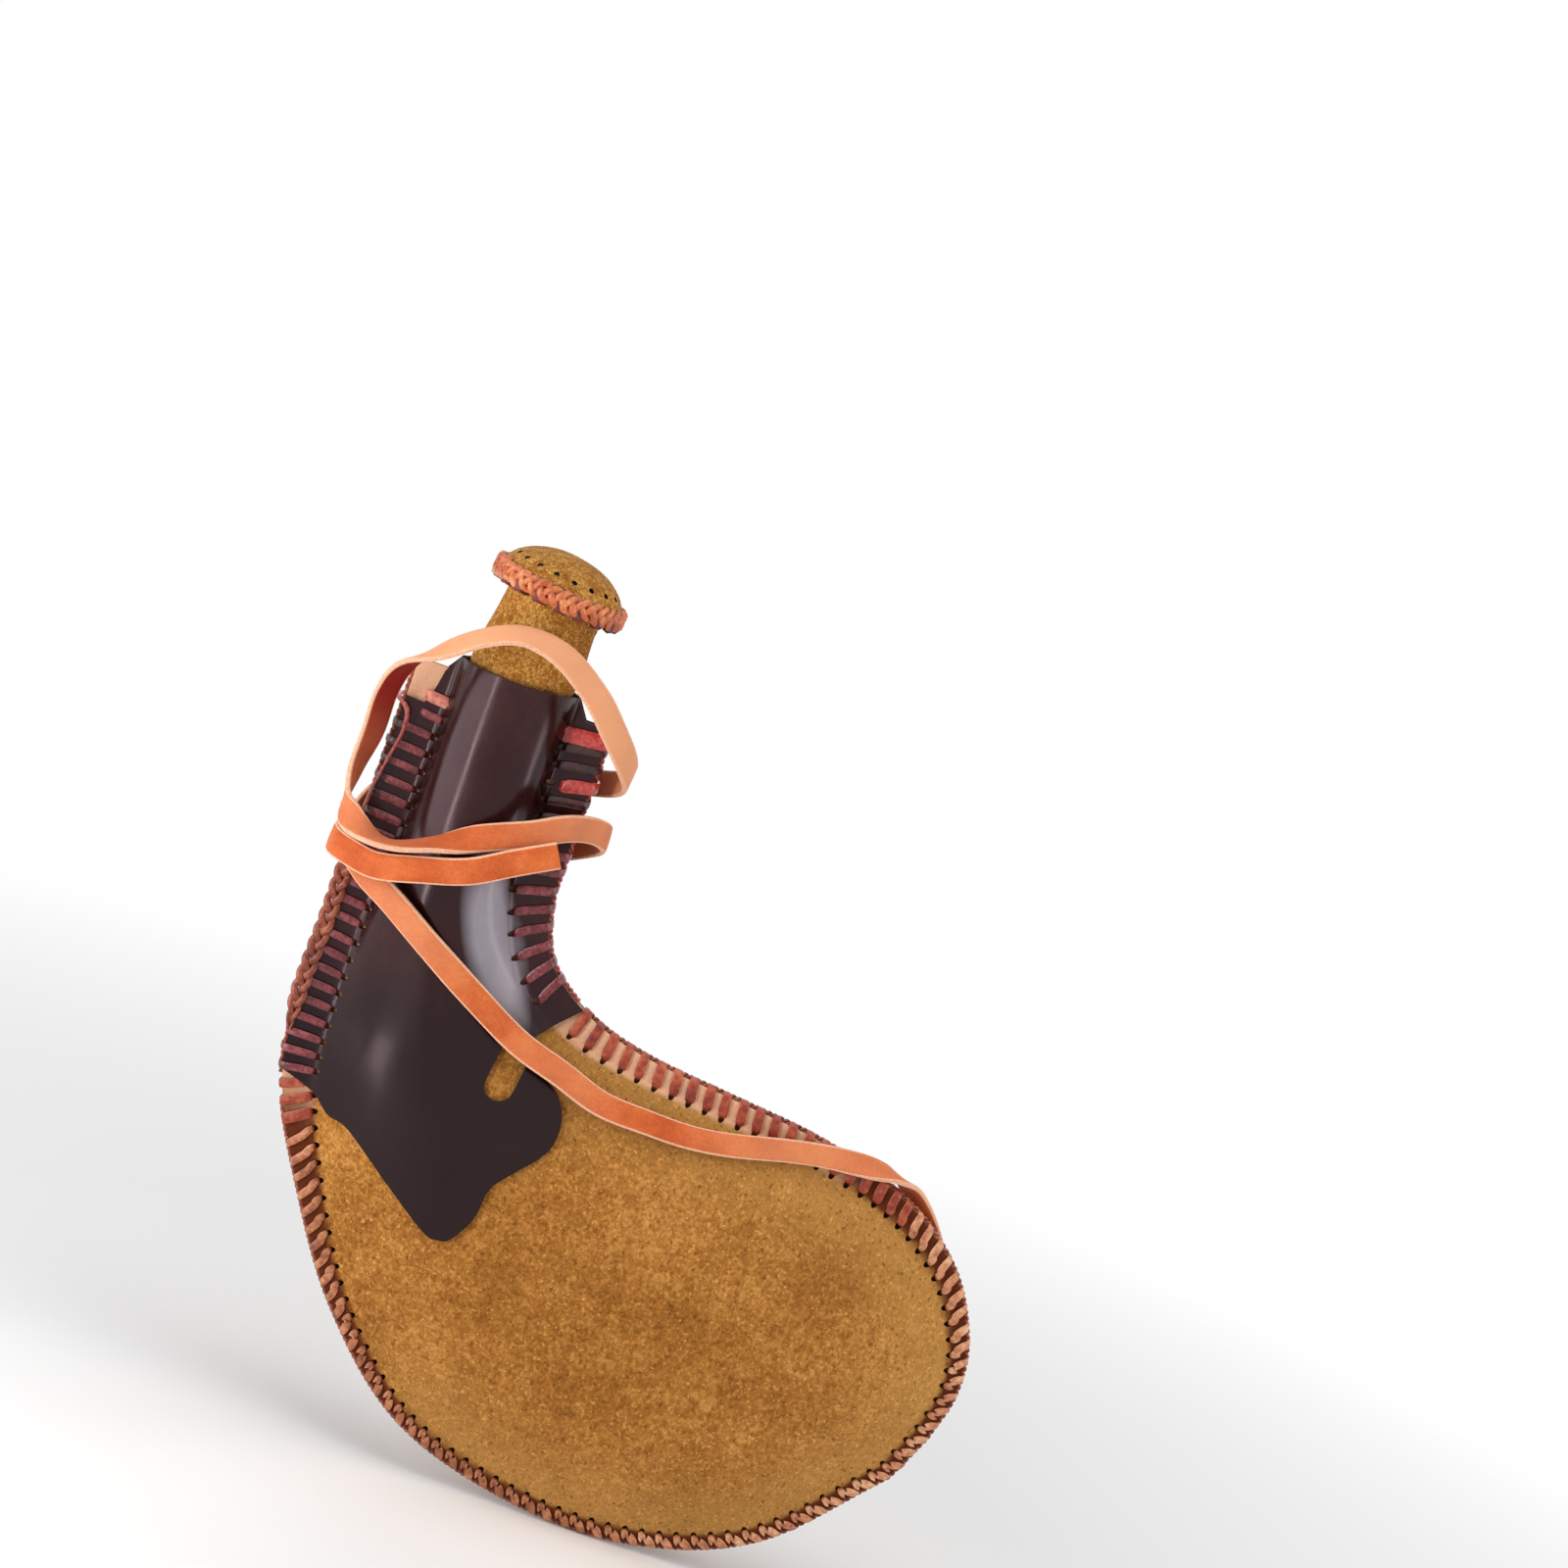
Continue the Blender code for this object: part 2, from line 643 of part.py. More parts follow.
def along_outline(side, z):
    """How far along the outline it reaches a height, on the right (1) or the left (-1)."""
    part = slice(0, RIGHT_COUNT // 2) if side > 0 else slice(RIGHT_COUNT + RIGHT_COUNT // 3, None)
    heights, places = OUTLINE[part, 1], OUTLINE_AT[part]
    order = np.argsort(heights)
    return float(np.interp(z, heights[order], places[order]))


def on_outline(s):
    """The outline's point, inward direction and flange width at a distance along it."""
    x, z, flange = (float(np.interp(s, OUTLINE_AT, OUTLINE[:, k])) for k in range(3))
    ahead, behind = (
        np.array([np.interp(s + d, OUTLINE_AT, OUTLINE[:, k]) for k in range(2)])
        for d in (LACE_PITCH, -LACE_PITCH)
    )
    run = (ahead - behind) / np.linalg.norm(ahead - behind)
    return Vector((x, 0, z)), Vector((run[1], 0, -run[0])), Vector((run[0], 0, run[1])), flange


def add_whip_lace(name, columns, slot, parent=None, closed=False):
    """A flat lace whipped over an edge, from the two edges of each of its stitches in turn.

    An edge has its front hole, front and back points round the leather's edge, and its back hole. Between
    stitches only the run round the edge goes on.
    """
    bm = bmesh.new()
    edges = [[bm.verts.new(point) for point in column] for column in columns]
    legs = len(columns[0]) - 1
    for k, (a, b) in enumerate(zip(edges, edges[1:] + edges[:1] if closed else edges[1:])):
        for j in range(legs) if k % 2 == 0 else range(1, legs - 1):
            bm.faces.new((a[j], a[j + 1], b[j + 1], b[j]))
    bmesh.ops.recalc_face_normals(bm, faces=bm.faces)
    mesh = bpy.data.meshes.new(name)
    bm.to_mesh(mesh)
    bm.free()
    part = add_object(name, mesh, slot, parent)
    shell = part.modifiers.new("lace", "SOLIDIFY")
    shell.thickness = LACE_THICKNESS
    shell.offset = 0


def seam_column(s, stack, slant):
    """One edge of a stitch over the skin's rim, at a distance along it, clear of the leather's half stack."""
    edge, inward, run, flange = on_outline(s)
    neck = neckness(edge.z)
    reach = flange - neck * NECK_LACE_MARGIN - (1 - neck) * LACE_MARGIN
    face = stack + LACE_CLEAR
    return [
        edge + inward * reach + Vector((0, -face, 0)),
        edge + Vector((0, -face, 0)),
        edge - inward * LACE_CLEAR + Vector((0, -stack, 0)),
        edge - inward * LACE_CLEAR + Vector((0, stack, 0)),
        edge + Vector((0, face, 0)),
        edge + inward * reach + run * slant + Vector((0, face, 0)),
    ]


def build_seam_laces():
    """The three seam laces: right neck, left neck, and all round the body's rim."""
    skin = SEAM_GAP / 2 + SUEDE
    sleeved = skin + GAP + SLEEVE_LEATHER
    neck_top_z = MOUTH_Z - NECK_LACE_TOP
    seams = (
        ("neck_lace_right", (1, neck_top_z), (1, SLEEVE_FOOT_Z + LACE_TO_SLEEVE_FOOT), sleeved, "neck_lace"),
        ("rim_lace", (1, SLEEVE_FOOT_Z - RIM_LACE_TO_SLEEVE), (-1, RIM_LACE_TAIL_Z), skin, "rim_lace"),
        ("neck_lace_left", (-1, LEFT_LACE_FOOT_Z), (-1, neck_top_z), sleeved, "neck_lace"),
    )
    for name, start, end, stack, slot in seams:
        first, last = along_outline(*start), along_outline(*end)
        count = int((last - first) / LACE_PITCH) + 1
        middles = [first + k * LACE_PITCH for k in range(count)]
        edges = [s + d for s in middles for d in (-LACE_WIDTH / 2, LACE_WIDTH / 2)]
        add_whip_lace(name, [seam_column(s, stack, LACE_PITCH / 2) for s in edges], slot)


def build_stopper():
    """The stopper: a turned core in a suede cover, under a laced mushroom cap."""
    axis = bpy.data.objects.new("stopper_axis", None)
    axis.location = (0, 0, MOUTH_Z)
    PARTS.objects.link(axis)
    bpy.context.view_layer.update()
    washer_top = CAP_Z - GAP
    washer_foot = washer_top - CAP_SUEDE
    cover_top = washer_foot - GAP
    foot = MOUTH_Z - STOPPER_DEPTH
    seat = MOUTH_Z + GAP
    hollow_r = CORE_R + GAP
    add_turned(
        "stopper_cover",
        [
            (STOPPER_SHANK_R, cover_top),
            (STOPPER_BULGE_R, MOUTH_Z + STOPPER_BULGE_RISE),
            (STOPPER_BULGE_R, seat + COVER_SUEDE),
            (STOPPER_R + GAP, seat),
            (STOPPER_R, seat),
            (STOPPER_TIP_R, foot),
            (0, foot),
            (0, foot + COVER_SUEDE),
            (hollow_r, foot + COVER_SUEDE),
            (hollow_r, cover_top),
        ],
        "stopper_suede",
        axis,
    )
    head_foot = CAP_Z + GAP
    head_r = CAP_R - CAP_SUEDE - HEAD_CLEAR
    head_height = CAP_HEIGHT - CAP_SUEDE - HEAD_CLEAR
    head = [
        (head_r * math.cos(a), head_foot + head_height * math.sin(a))
        for a in (math.pi / 2 * k / 8 for k in range(8, -1, -1))
    ]
    head[0] = (0, head_foot + head_height)
    core_foot = foot + COVER_SUEDE + GAP
    add_turned(
        "stopper_core",
        [*head, (CORE_R, head_foot), (CORE_R, core_foot), (0, core_foot)],
        "wood",
        axis,
    )
    add_turned(
        "cap_base",
        [
            (CAP_R, washer_top),
            (CAP_R, washer_foot),
            (hollow_r, washer_foot),
            (hollow_r, washer_top),
        ],
        "stopper_suede",
        axis,
    )
    build_cap_dome(axis, head_foot)
    build_cap_lace(axis, washer_foot, head_foot)


def cap_point(share, angle, foot_z, lift=0.0):
    """A point of the cap's outer face, at a share of the quarter arc up from its edge."""
    up = share * math.pi / 2
    r = (CAP_R + lift) * math.cos(up)
    return Vector((r * math.cos(angle), r * math.sin(angle), foot_z + (CAP_HEIGHT + lift) * math.sin(up)))


def build_cap_dome(axis, foot_z):
    """The suede dome, with its ring of punched lace holes."""
    hole_low, hole_high = CAP_HOLE_SHARES
    half_hole = CAP_HOLE_WIDTH / 2 / (CAP_R * math.cos(hole_low * math.pi / 2))
    angles = []
    for k in range(CAP_HOLES):
        middle = 2 * math.pi * k / CAP_HOLES
        angles += [middle - half_hole, middle + half_hole]
    bm = bmesh.new()
    rings = [[bm.verts.new(cap_point(share, a, foot_z)) for a in angles] for share in CAP_ROW_SHARES]
    top = bm.verts.new(cap_point(1.0, 0.0, foot_z))
    for share, lower, upper in zip(CAP_ROW_SHARES, rings, rings[1:]):
        for k in range(len(angles)):
            after = (k + 1) % len(angles)
            if not (share == hole_low and k % 2 == 0):
                bm.faces.new((lower[k], lower[after], upper[after], upper[k]))
    for k in range(len(angles)):
        bm.faces.new((rings[-1][k], rings[-1][(k + 1) % len(angles)], top))
    mesh = mesh_from("cap_dome", bm)
    part = add_object("cap_dome", mesh, "stopper_suede", axis)
    shell = part.modifiers.new("suede", "SOLIDIFY")
    shell.thickness = CAP_SUEDE
    shell.offset = -1
    shell.use_even_offset = True


def build_cap_lace(axis, under_z, foot_z):
    """The lace whipped round the cap's edge."""
    lift = CAP_LACE_LIFT + LACE_THICKNESS / 2
    upper_share = math.asin(CAP_LACE_REACH / CAP_HEIGHT) / (math.pi / 2)
    half = CAP_LACE_WIDTH / 2 / CAP_R
    columns = []
    for k in range(CAP_HOLES):
        for angle in (2 * math.pi * (k + 0.5) / CAP_HOLES + d for d in (-half, half)):
            below = [
                (CAP_R + LACE_CLEAR, foot_z),
                (CAP_R + LACE_CLEAR, under_z),
                (CAP_R, under_z - LACE_CLEAR),
                (CAP_R - CAP_LACE_REACH, under_z - LACE_CLEAR),
            ]
            above = [cap_point(share, angle, foot_z, lift) for share in (upper_share, upper_share / 2)]
            columns.append(above + [Vector((r * math.cos(angle), r * math.sin(angle), z)) for r, z in below])
    add_whip_lace("cap_lace", columns, "cap_lace", axis, closed=True)


def ribbon_frames(route, step):
    """Evenly spaced points along a smooth route, with the way its face looks at each."""
    fine = catmull_rom(route, 12)
    at = np.concatenate([[0], np.cumsum(np.linalg.norm(np.diff(fine[:, :3], axis=0), axis=1))])
    places = np.linspace(0, at[-1], int(at[-1] / step) + 1)
    spaced = np.stack([np.interp(places, at, fine[:, k]) for k in range(6)], axis=1)
    return spaced


def build_strap():
    """The flat carrying strap, from the rim to the neck, round it and over its top, to the cut end."""
    route = [(*(c * MM for c in stop[:3]), *stop[3:]) for stop in STRAP_ROUTE]
    frames = ribbon_frames(route, STRAP_STEP)
    bm = bmesh.new()
    sections = []
    for k, frame in enumerate(frames):
        before, after = frames[max(k - 1, 0)], frames[min(k + 1, len(frames) - 1)]
        along = Vector(after[:3] - before[:3]).normalized()
        face = Vector(frame[3:])
        face = (face - along * face.dot(along)).normalized()
        across = along.cross(face)
        middle = Vector(frame[:3])
        corners = ((-1, -1), (1, -1), (1, 1), (-1, 1))
        sections.append([
            bm.verts.new(middle + across * (u * STRAP_WIDTH / 2) + face * (v * STRAP_THICKNESS / 2))
            for u, v in corners
        ])
    for a, b in zip(sections, sections[1:]):
        for k in range(4):
            bm.faces.new((a[k], a[(k + 1) % 4], b[(k + 1) % 4], b[k]))
    bm.faces.new(sections[0])
    bm.faces.new(sections[-1][::-1])
    add_object("strap", mesh_from("strap", bm), "strap")


def build_lace_tail():
    """The left neck lace's loose end, lying down over its own stitches."""
    points = [Vector(p) for p in catmull_rom([[c * MM for c in stop] for stop in TAIL_ROUTE], 3)]
    bm = bmesh.new()
    rings = []
    side = Vector((1, 0, 0))
    for before, point, after in zip(points[:1] + points, points, points[1:] + points[-1:]):
        along = (after - before).normalized()
        side = (side - along * side.dot(along)).normalized()
        other = along.cross(side)
        turns = [2 * math.pi * k / TAIL_SIDES for k in range(TAIL_SIDES)]
        rings.append([
            bm.verts.new(point + side * TAIL_R * math.cos(a) + other * TAIL_R * math.sin(a)) for a in turns
        ])
    for a, b in zip(rings, rings[1:]):
        for k in range(TAIL_SIDES):
            bm.faces.new((a[k], a[(k + 1) % TAIL_SIDES], b[(k + 1) % TAIL_SIDES], b[k]))
    bm.faces.new(rings[0])
    bm.faces.new(rings[-1][::-1])
    add_object("lace_tail", mesh_from("lace_tail", bm), "neck_lace")


build_panels()
build_sleeve()
build_neck_tube()
build_bladder()
build_seam_laces()
build_stopper()
build_strap()
build_lace_tail()
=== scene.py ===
"""The looks of a bota: a curved suede wine skin, laced round its rim, with a smooth leather neck sleeve,
a stopper under a laced cap, and a flat orange strap. Lengths are in metres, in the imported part's frame.
"""

import math
from collections import namedtuple

import bmesh
import bpy
import numpy as np
from mathutils import Matrix, Vector, noise


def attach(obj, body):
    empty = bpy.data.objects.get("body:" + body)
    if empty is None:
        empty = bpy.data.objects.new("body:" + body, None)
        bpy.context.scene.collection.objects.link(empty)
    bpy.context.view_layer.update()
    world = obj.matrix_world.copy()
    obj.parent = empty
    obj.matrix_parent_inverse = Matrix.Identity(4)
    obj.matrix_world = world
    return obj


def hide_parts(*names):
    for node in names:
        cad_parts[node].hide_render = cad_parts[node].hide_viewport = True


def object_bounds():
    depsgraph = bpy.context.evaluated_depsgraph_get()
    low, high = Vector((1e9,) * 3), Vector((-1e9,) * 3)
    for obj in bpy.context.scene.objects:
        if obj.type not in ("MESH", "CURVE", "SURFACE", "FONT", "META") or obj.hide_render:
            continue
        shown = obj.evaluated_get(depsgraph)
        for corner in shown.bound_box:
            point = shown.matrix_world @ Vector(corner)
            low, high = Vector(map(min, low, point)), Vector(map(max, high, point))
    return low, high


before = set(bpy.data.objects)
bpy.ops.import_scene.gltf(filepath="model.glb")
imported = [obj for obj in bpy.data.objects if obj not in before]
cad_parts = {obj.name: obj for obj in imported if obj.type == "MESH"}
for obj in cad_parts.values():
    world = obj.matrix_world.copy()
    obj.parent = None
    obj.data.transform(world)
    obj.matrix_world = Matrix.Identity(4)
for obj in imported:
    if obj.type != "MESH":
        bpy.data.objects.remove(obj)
CAD_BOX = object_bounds()
RANDOM = np.random.default_rng(7)

MM = 0.001

# The part's own sizes, repeated from its source
GAP = 0.3 * MM
SEAM_GAP = 0.3 * MM
MOUTH_Z = 150 * MM
BORE_R = 14.8 * MM
TUBE_WALL = 1.1 * MM
NECK_FLANGE = 15.8 * MM
SUEDE = 1.4 * MM
REACH = 207.2 * MM
RISE = 60 * MM
DROP = 103 * MM
BODY_DEPTH = 14 * MM
DOME_RUN = 48 * MM
DOME_POWER = 2.4
RIM_FLANGE = 8.5 * MM
NECK_FOOT_Z = 90 * MM
PANEL_TOP_Z = 147 * MM
RIGHT_ROW_SHARES = [
    (0.186, 1.170, 1.55), (0.273, 0.945, 1.25), (0.379, 0.838, 1.05), (0.524, 0.783, 1.00),
    (0.673, 0.723, 1.00), (0.823, 0.575, 0.95), (0.929, 0.308, 0.85), (0.987, -0.019, 0.72),
    (1.000, -0.194, 0.62), (0.982, -0.359, 0.58),
]
LEFT_ROW_SHARES = [
    (-0.154, 1.033, 1.50), (-0.157, 0.500, 1.42), (-0.140, 0.067, 1.32), (-0.065, -0.252, 0.95),
    (0.046, -0.583, 0.68), (0.200, -0.859, 0.60), (0.398, -0.983, 0.58), (0.601, -0.990, 0.58),
    (0.789, -0.850, 0.58), (0.948, -0.515, 0.58),
]
SLEEVE_LEATHER = 1.3 * MM
SLEEVE_TOP = 1.8 * MM
SLEEVE_OVERRUN = 8 * MM
FLANGE_SHOULDER = 4.5 * MM
FLAP_REACH = 58.6 * MM
FLAP_DROP = 24 * MM
SLEEVE_FOOT_Z = 58.5 * MM
FLAP_SHARES = [
    (0.674, 0.752), (0.794, 0.641), (0.930, 0.538), (0.997, 0.427), (0.998, 0.291), (0.945, 0.190),
    (0.858, 0.092), (0.756, -0.112), (0.730, -0.546), (0.650, -0.920), (0.580, -1.000), (0.488, -0.954),
    (0.205, -0.500), (-0.068, -0.062), (-0.205, 0.003), (-0.322, 0.084), (-0.530, 0.154),
]
SLOT_WIDTH = 9.4 * MM
SLOT_X = 37 * MM
SLOT_LEAN = math.radians(8)
LACE_PITCH = 5.8 * MM
LACE_MARGIN = 1.2 * MM
NECK_LACE_MARGIN = 3.6 * MM
NECK_LACE_TOP_Z = 141.5 * MM
RIGHT_LACE_FOOT_Z = 61 * MM
RIM_LACE_HEAD_Z = 57 * MM
RIM_LACE_TAIL_Z = -3 * MM
LEFT_LACE_FOOT_Z = 9 * MM
COVER_FOOT_Z = 116 * MM
COVER_TOP_Z = 178 * MM
COVER_HOLLOW_R = 12.7 * MM
COVER_SUEDE = 1.1 * MM
CAP_R = 22.2 * MM
CAP_SUEDE = 1.4 * MM
CAP_FOOT_Z = 180.3 * MM
WASHER_TOP_Z = 179.7 * MM
WASHER_FOOT_Z = 178.3 * MM
CAP_HOLES = 18
CAP_HOLE_WIDTH = 1.9 * MM
STRAP_THICKNESS = 2.0 * MM
TUBE_R = BORE_R + TUBE_WALL
SKIN_R = TUBE_R + GAP
SLEEVE_R = SKIN_R + SUEDE + GAP
SKIN_STACK = SEAM_GAP / 2 + SUEDE
SLEEVED_STACK = SKIN_STACK + GAP + SLEEVE_LEATHER

# Sizes drawn as the photograph shows them, where the solids are plainer
SLOT_LENGTH = 19.5 * MM
SLOT_Z = 34 * MM
STRAP_DRAWN_WIDTH = 8.6 * MM
COVER_LEAN = 2.4 * MM
CAP_TILT = math.radians(7)
CAP_DRAWN_R = 20.9 * MM
CAP_DRAWN_HEIGHT = 13.3 * MM
EXTRA_RIM_STITCHES = 2

# Stretches of the strap, each with its middle and its reach to both sides: where the strap is narrower,
# where its face is rubbed pale, and where its flesh side is darkest red with painted shade inside the loop
NARROW_STRETCH = (85 * MM, 55 * MM)
RUBBED_STRETCH = (435 * MM, 62 * MM)
PAINTED_SHADE_STRETCH = (492 * MM, 27 * MM)
NARROWER = 0.12

# The strap's route: each stop's place in millimetres, and the direction that its face looks in
STRAP_ROUTE = [
    (192.5, 4.9, 9.6, 0, 1, 0), (187.2, 4.9, 17.1, 0, 1, 0),
    (179.3, 5.3, 28.6, 0.18, 0.96, 0.22), (171.8, 4.3, 36.9, 0.37, 0.71, 0.6),
    (164.8, 0.1, 40.7, 0.42, 0, 0.91), (157, -4.1, 41.6, 0.23, -0.71, 0.67),
    (149.5, -5.5, 41.4, 0.09, -0.94, 0.33), (142, -5.4, 40.6, 0.03, -0.99, 0.14),
    (130.5, -5.7, 38.5, 0, -0.99, 0.12), (111.5, -8.1, 34.3, 0, -0.92, 0.39),
    (98, -9.9, 32.8, 0, -0.92, 0.39), (84.5, -10.9, 33, 0, -0.93, 0.37),
    (68.5, -11.8, 34, 0, -0.92, 0.39), (53.1, -13.1, 39.2, 0, -0.93, 0.37),
    (37, -14.6, 44.6, 0, -0.96, 0.29), (18, -17.6, 55.2, 0, -0.99, 0.12),
    (1.2, -19.9, 65.3, -0.05, -0.99, -0.12), (-14.3, -18.6, 74.3, -0.33, -0.94, -0.08),
    (-26.1, -13, 79.6, -0.62, -0.78, 0), (-34.7, -4, 85.2, -0.96, -0.29, 0),
    (-35.4, 6, 92.6, -0.89, 0.45, 0), (-28, 16.6, 102.5, -0.51, 0.86, 0),
    (-9.5, 22, 111.5, -0.1, 1, 0), (12.5, 22, 119, 0.2, 0.98, 0),
    (29, 16.2, 124.5, 0.6, 0.8, 0), (39.5, 6, 129, 0.98, 0.2, 0),
    (42.5, -4.5, 133.6, 0.92, -0.37, 0.09), (39.7, -13, 139.5, 0.66, -0.75, 0.09),
    (33.4, -19.5, 147.3, 0.37, -0.92, 0.12), (24.6, -23.5, 156.6, 0.2, -0.93, 0.3),
    (11.5, -25.4, 165.1, 0.1, -0.8, 0.6), (-1.7, -25.6, 167.4, 0, -0.6, 0.8),
    (-13.2, -24.6, 163, -0.1, -0.55, 0.83), (-24.4, -22, 154.3, -0.25, -0.5, 0.83),
    (-33.9, -17, 146.1, -0.48, 0.28, 0.82), (-37.6, -11.5, 135.4, -0.64, 0.7, 0.31),
    (-37.8, -9.5, 121.4, -0.68, 0.71, 0.14), (-39, -10.5, 108, -0.9, 0.38, 0.15),
    (-37.8, -14, 97.9, -0.92, -0.05, 0.38), (-31.5, -20.5, 93.3, -0.62, -0.12, 0.78),
    (-20.9, -24.8, 92.1, -0.15, -0.1, 0.98), (-7.3, -24.2, 96.9, -0.1, -0.34, 0.93),
    (6.2, -22.2, 103.5, -0.1, -0.97, 0.2), (19.5, -21.2, 109.3, 0.1, -1, 0),
    (29.8, -18.2, 114.3, 0.42, -0.91, 0), (37.8, -9.5, 114.9, 0.87, -0.49, 0),
    (42.2, 1.5, 111.9, 1, 0.1, 0), (37.8, 11.5, 107, 0.66, 0.75, 0),
    (26, 18.8, 100.2, 0.29, 0.96, 0), (7, 22, 93.2, 0, 1, 0),
    (-13, 21, 87.2, -0.2, 0.98, 0), (-29.6, 16.8, 84.4, -0.66, 0.75, 0),
    (-38.6, 4.5, 84.9, -0.99, 0.12, 0), (-38.3, -7, 84.6, -0.92, -0.38, 0.1),
    (-31.8, -17, 84.4, -0.6, -0.8, 0.09), (-22.3, -22.6, 84.2, -0.22, -0.97, 0.1),
    (-9.2, -25.4, 88, 0, -1, 0.05), (5.2, -26.6, 92.7, 0, -1, 0),
    (17.4, -25.8, 99.7, 0.05, -1, 0), (29.8, -24.4, 106.5, 0.15, -0.99, 0),
]
# The lace end's route, in millimetres
TAIL_ROUTE = [
    (-25, 6.6, 133), (-29, 6.8, 134.5), (-33.7, 3, 134.5), (-34, -3, 133.6),
    (-30, -6.2, 130.8), (-29, -6.6, 124), (-30.6, -6.6, 115), (-32.1, -6.6, 106),
    (-32.9, -6.6, 97),
]

# Camera: the photograph's frame is turned by ROLL from the neck's axis and looks down by TILT
ROLL = math.radians(19.73)
TILT = math.radians(8)
LENS_MM = 85
VIEW_CENTRE = Vector((0.0888, 0, 0.1477))
VIEW_DISTANCE = 1.1639
VIEW_RANGE = (0.01, 50)

# Light: the lamps are turned to LIT_PLACE. Each has a place, a width, a height and a brightness.
LIT_PLACE = Vector((0.06, 0, 0.05))
LAMPS = {
    "overhead": ((0.15, -0.25, 1.4), 1.3, 1.1, 2.3),
    "left_box": ((-0.56, -0.20, 0.12), 0.52, 0.44, 2.6),
    "left_strip": ((-0.28, -0.355, 0.115), 0.032, 0.43, 23),
    "right_strip": ((0.66, -0.13, 0.20), 0.12, 0.56, 4),
    "right_box": ((0.95, -0.60, 0.45), 0.60, 0.60, 2.2),
    "back_box": ((-0.1, 1.2, 0.6), 1.0, 0.9, 1.6),
}
AMBIENT = 0.16

# Floor: its radius, its place under the object, and where it fades to white
FLOOR_R = 4.0
FLOOR_Z = CAD_BOX[0].z - 0.2 * MM
FADE_FROM = 0.25
FADE_TO = 0.7


def put(name, data):
    """A new object in the scene."""
    made = bpy.data.objects.new(name, data)
    bpy.context.scene.collection.objects.link(made)
    return made


# Camera


def place_camera():
    """The camera at the photograph's angle."""
    data = bpy.data.cameras.new("camera")
    data.lens = LENS_MM
    data.clip_start, data.clip_end = VIEW_RANGE
    camera = put("camera", data)
    right = Vector((math.cos(ROLL), 0, math.sin(ROLL)))
    roll_up = Vector((-math.sin(ROLL), 0, math.cos(ROLL)))
    forward = math.cos(TILT) * Vector((0, 1, 0)) - math.sin(TILT) * roll_up
    up = math.cos(TILT) * roll_up + math.sin(TILT) * Vector((0, 1, 0))
    turn = Matrix((right, up, -forward)).transposed()
    camera.matrix_world = Matrix.Translation(VIEW_CENTRE - forward * VIEW_DISTANCE) @ turn.to_4x4()
    bpy.context.scene.camera = camera


place_camera()


# Materials


class Nodes:
    """A node tree under construction, with short ways to add its nodes."""

    def __init__(self, tree):
        self.tree = tree

    def feed(self, socket, value):
        """Links a socket to an output, or sets it to a number, a vector or a colour."""
        if isinstance(value, bpy.types.NodeSocket):
            self.tree.links.new(value, socket)
        else:
            socket.default_value = (*value, 1) if socket.type == "RGBA" else value

    def add(self, kind, output, inputs, **settings):
        """Adds a node with these inputs and settings, and gives one of its outputs."""
        made = self.tree.nodes.new("ShaderNode" + kind)
        for key, value in settings.items():
            setattr(made, key, value)
        for key, value in inputs.items():
            self.feed(made.inputs[key], value)
        return made.outputs[output]

    def math(self, operation, a, b, c=0.0):
        return self.add("Math", 0, {0: a, 1: b, 2: c}, operation=operation)

    def sum(self, a, a_share, b, b_share):
        """Two values, each times its share, added up."""
        return self.math("MULTIPLY_ADD", a, a_share, self.math("MULTIPLY", b, b_share))

    def spread(self, value, low, high, to_low=0.0, to_high=1.0):
        """A value moved from one range to another, and kept within it."""
        return self.add("MapRange", 0, {0: value, 1: low, 2: high, 3: to_low, 4: to_high})

    def length(self, place):
        """How far a place is from the origin."""
        return self.add("VectorMath", "Value", {0: place}, operation="LENGTH")

    def background_rays(self):
        """1 for rays from the camera and for mirrored or refracted ones, 0 for the light on the object."""
        rays = self.tree.nodes.new("ShaderNodeLightPath").outputs
        mirrored = self.math("MAXIMUM", rays["Is Glossy Ray"], rays["Is Transmission Ray"])
        return self.math("MAXIMUM", rays["Is Camera Ray"], mirrored)


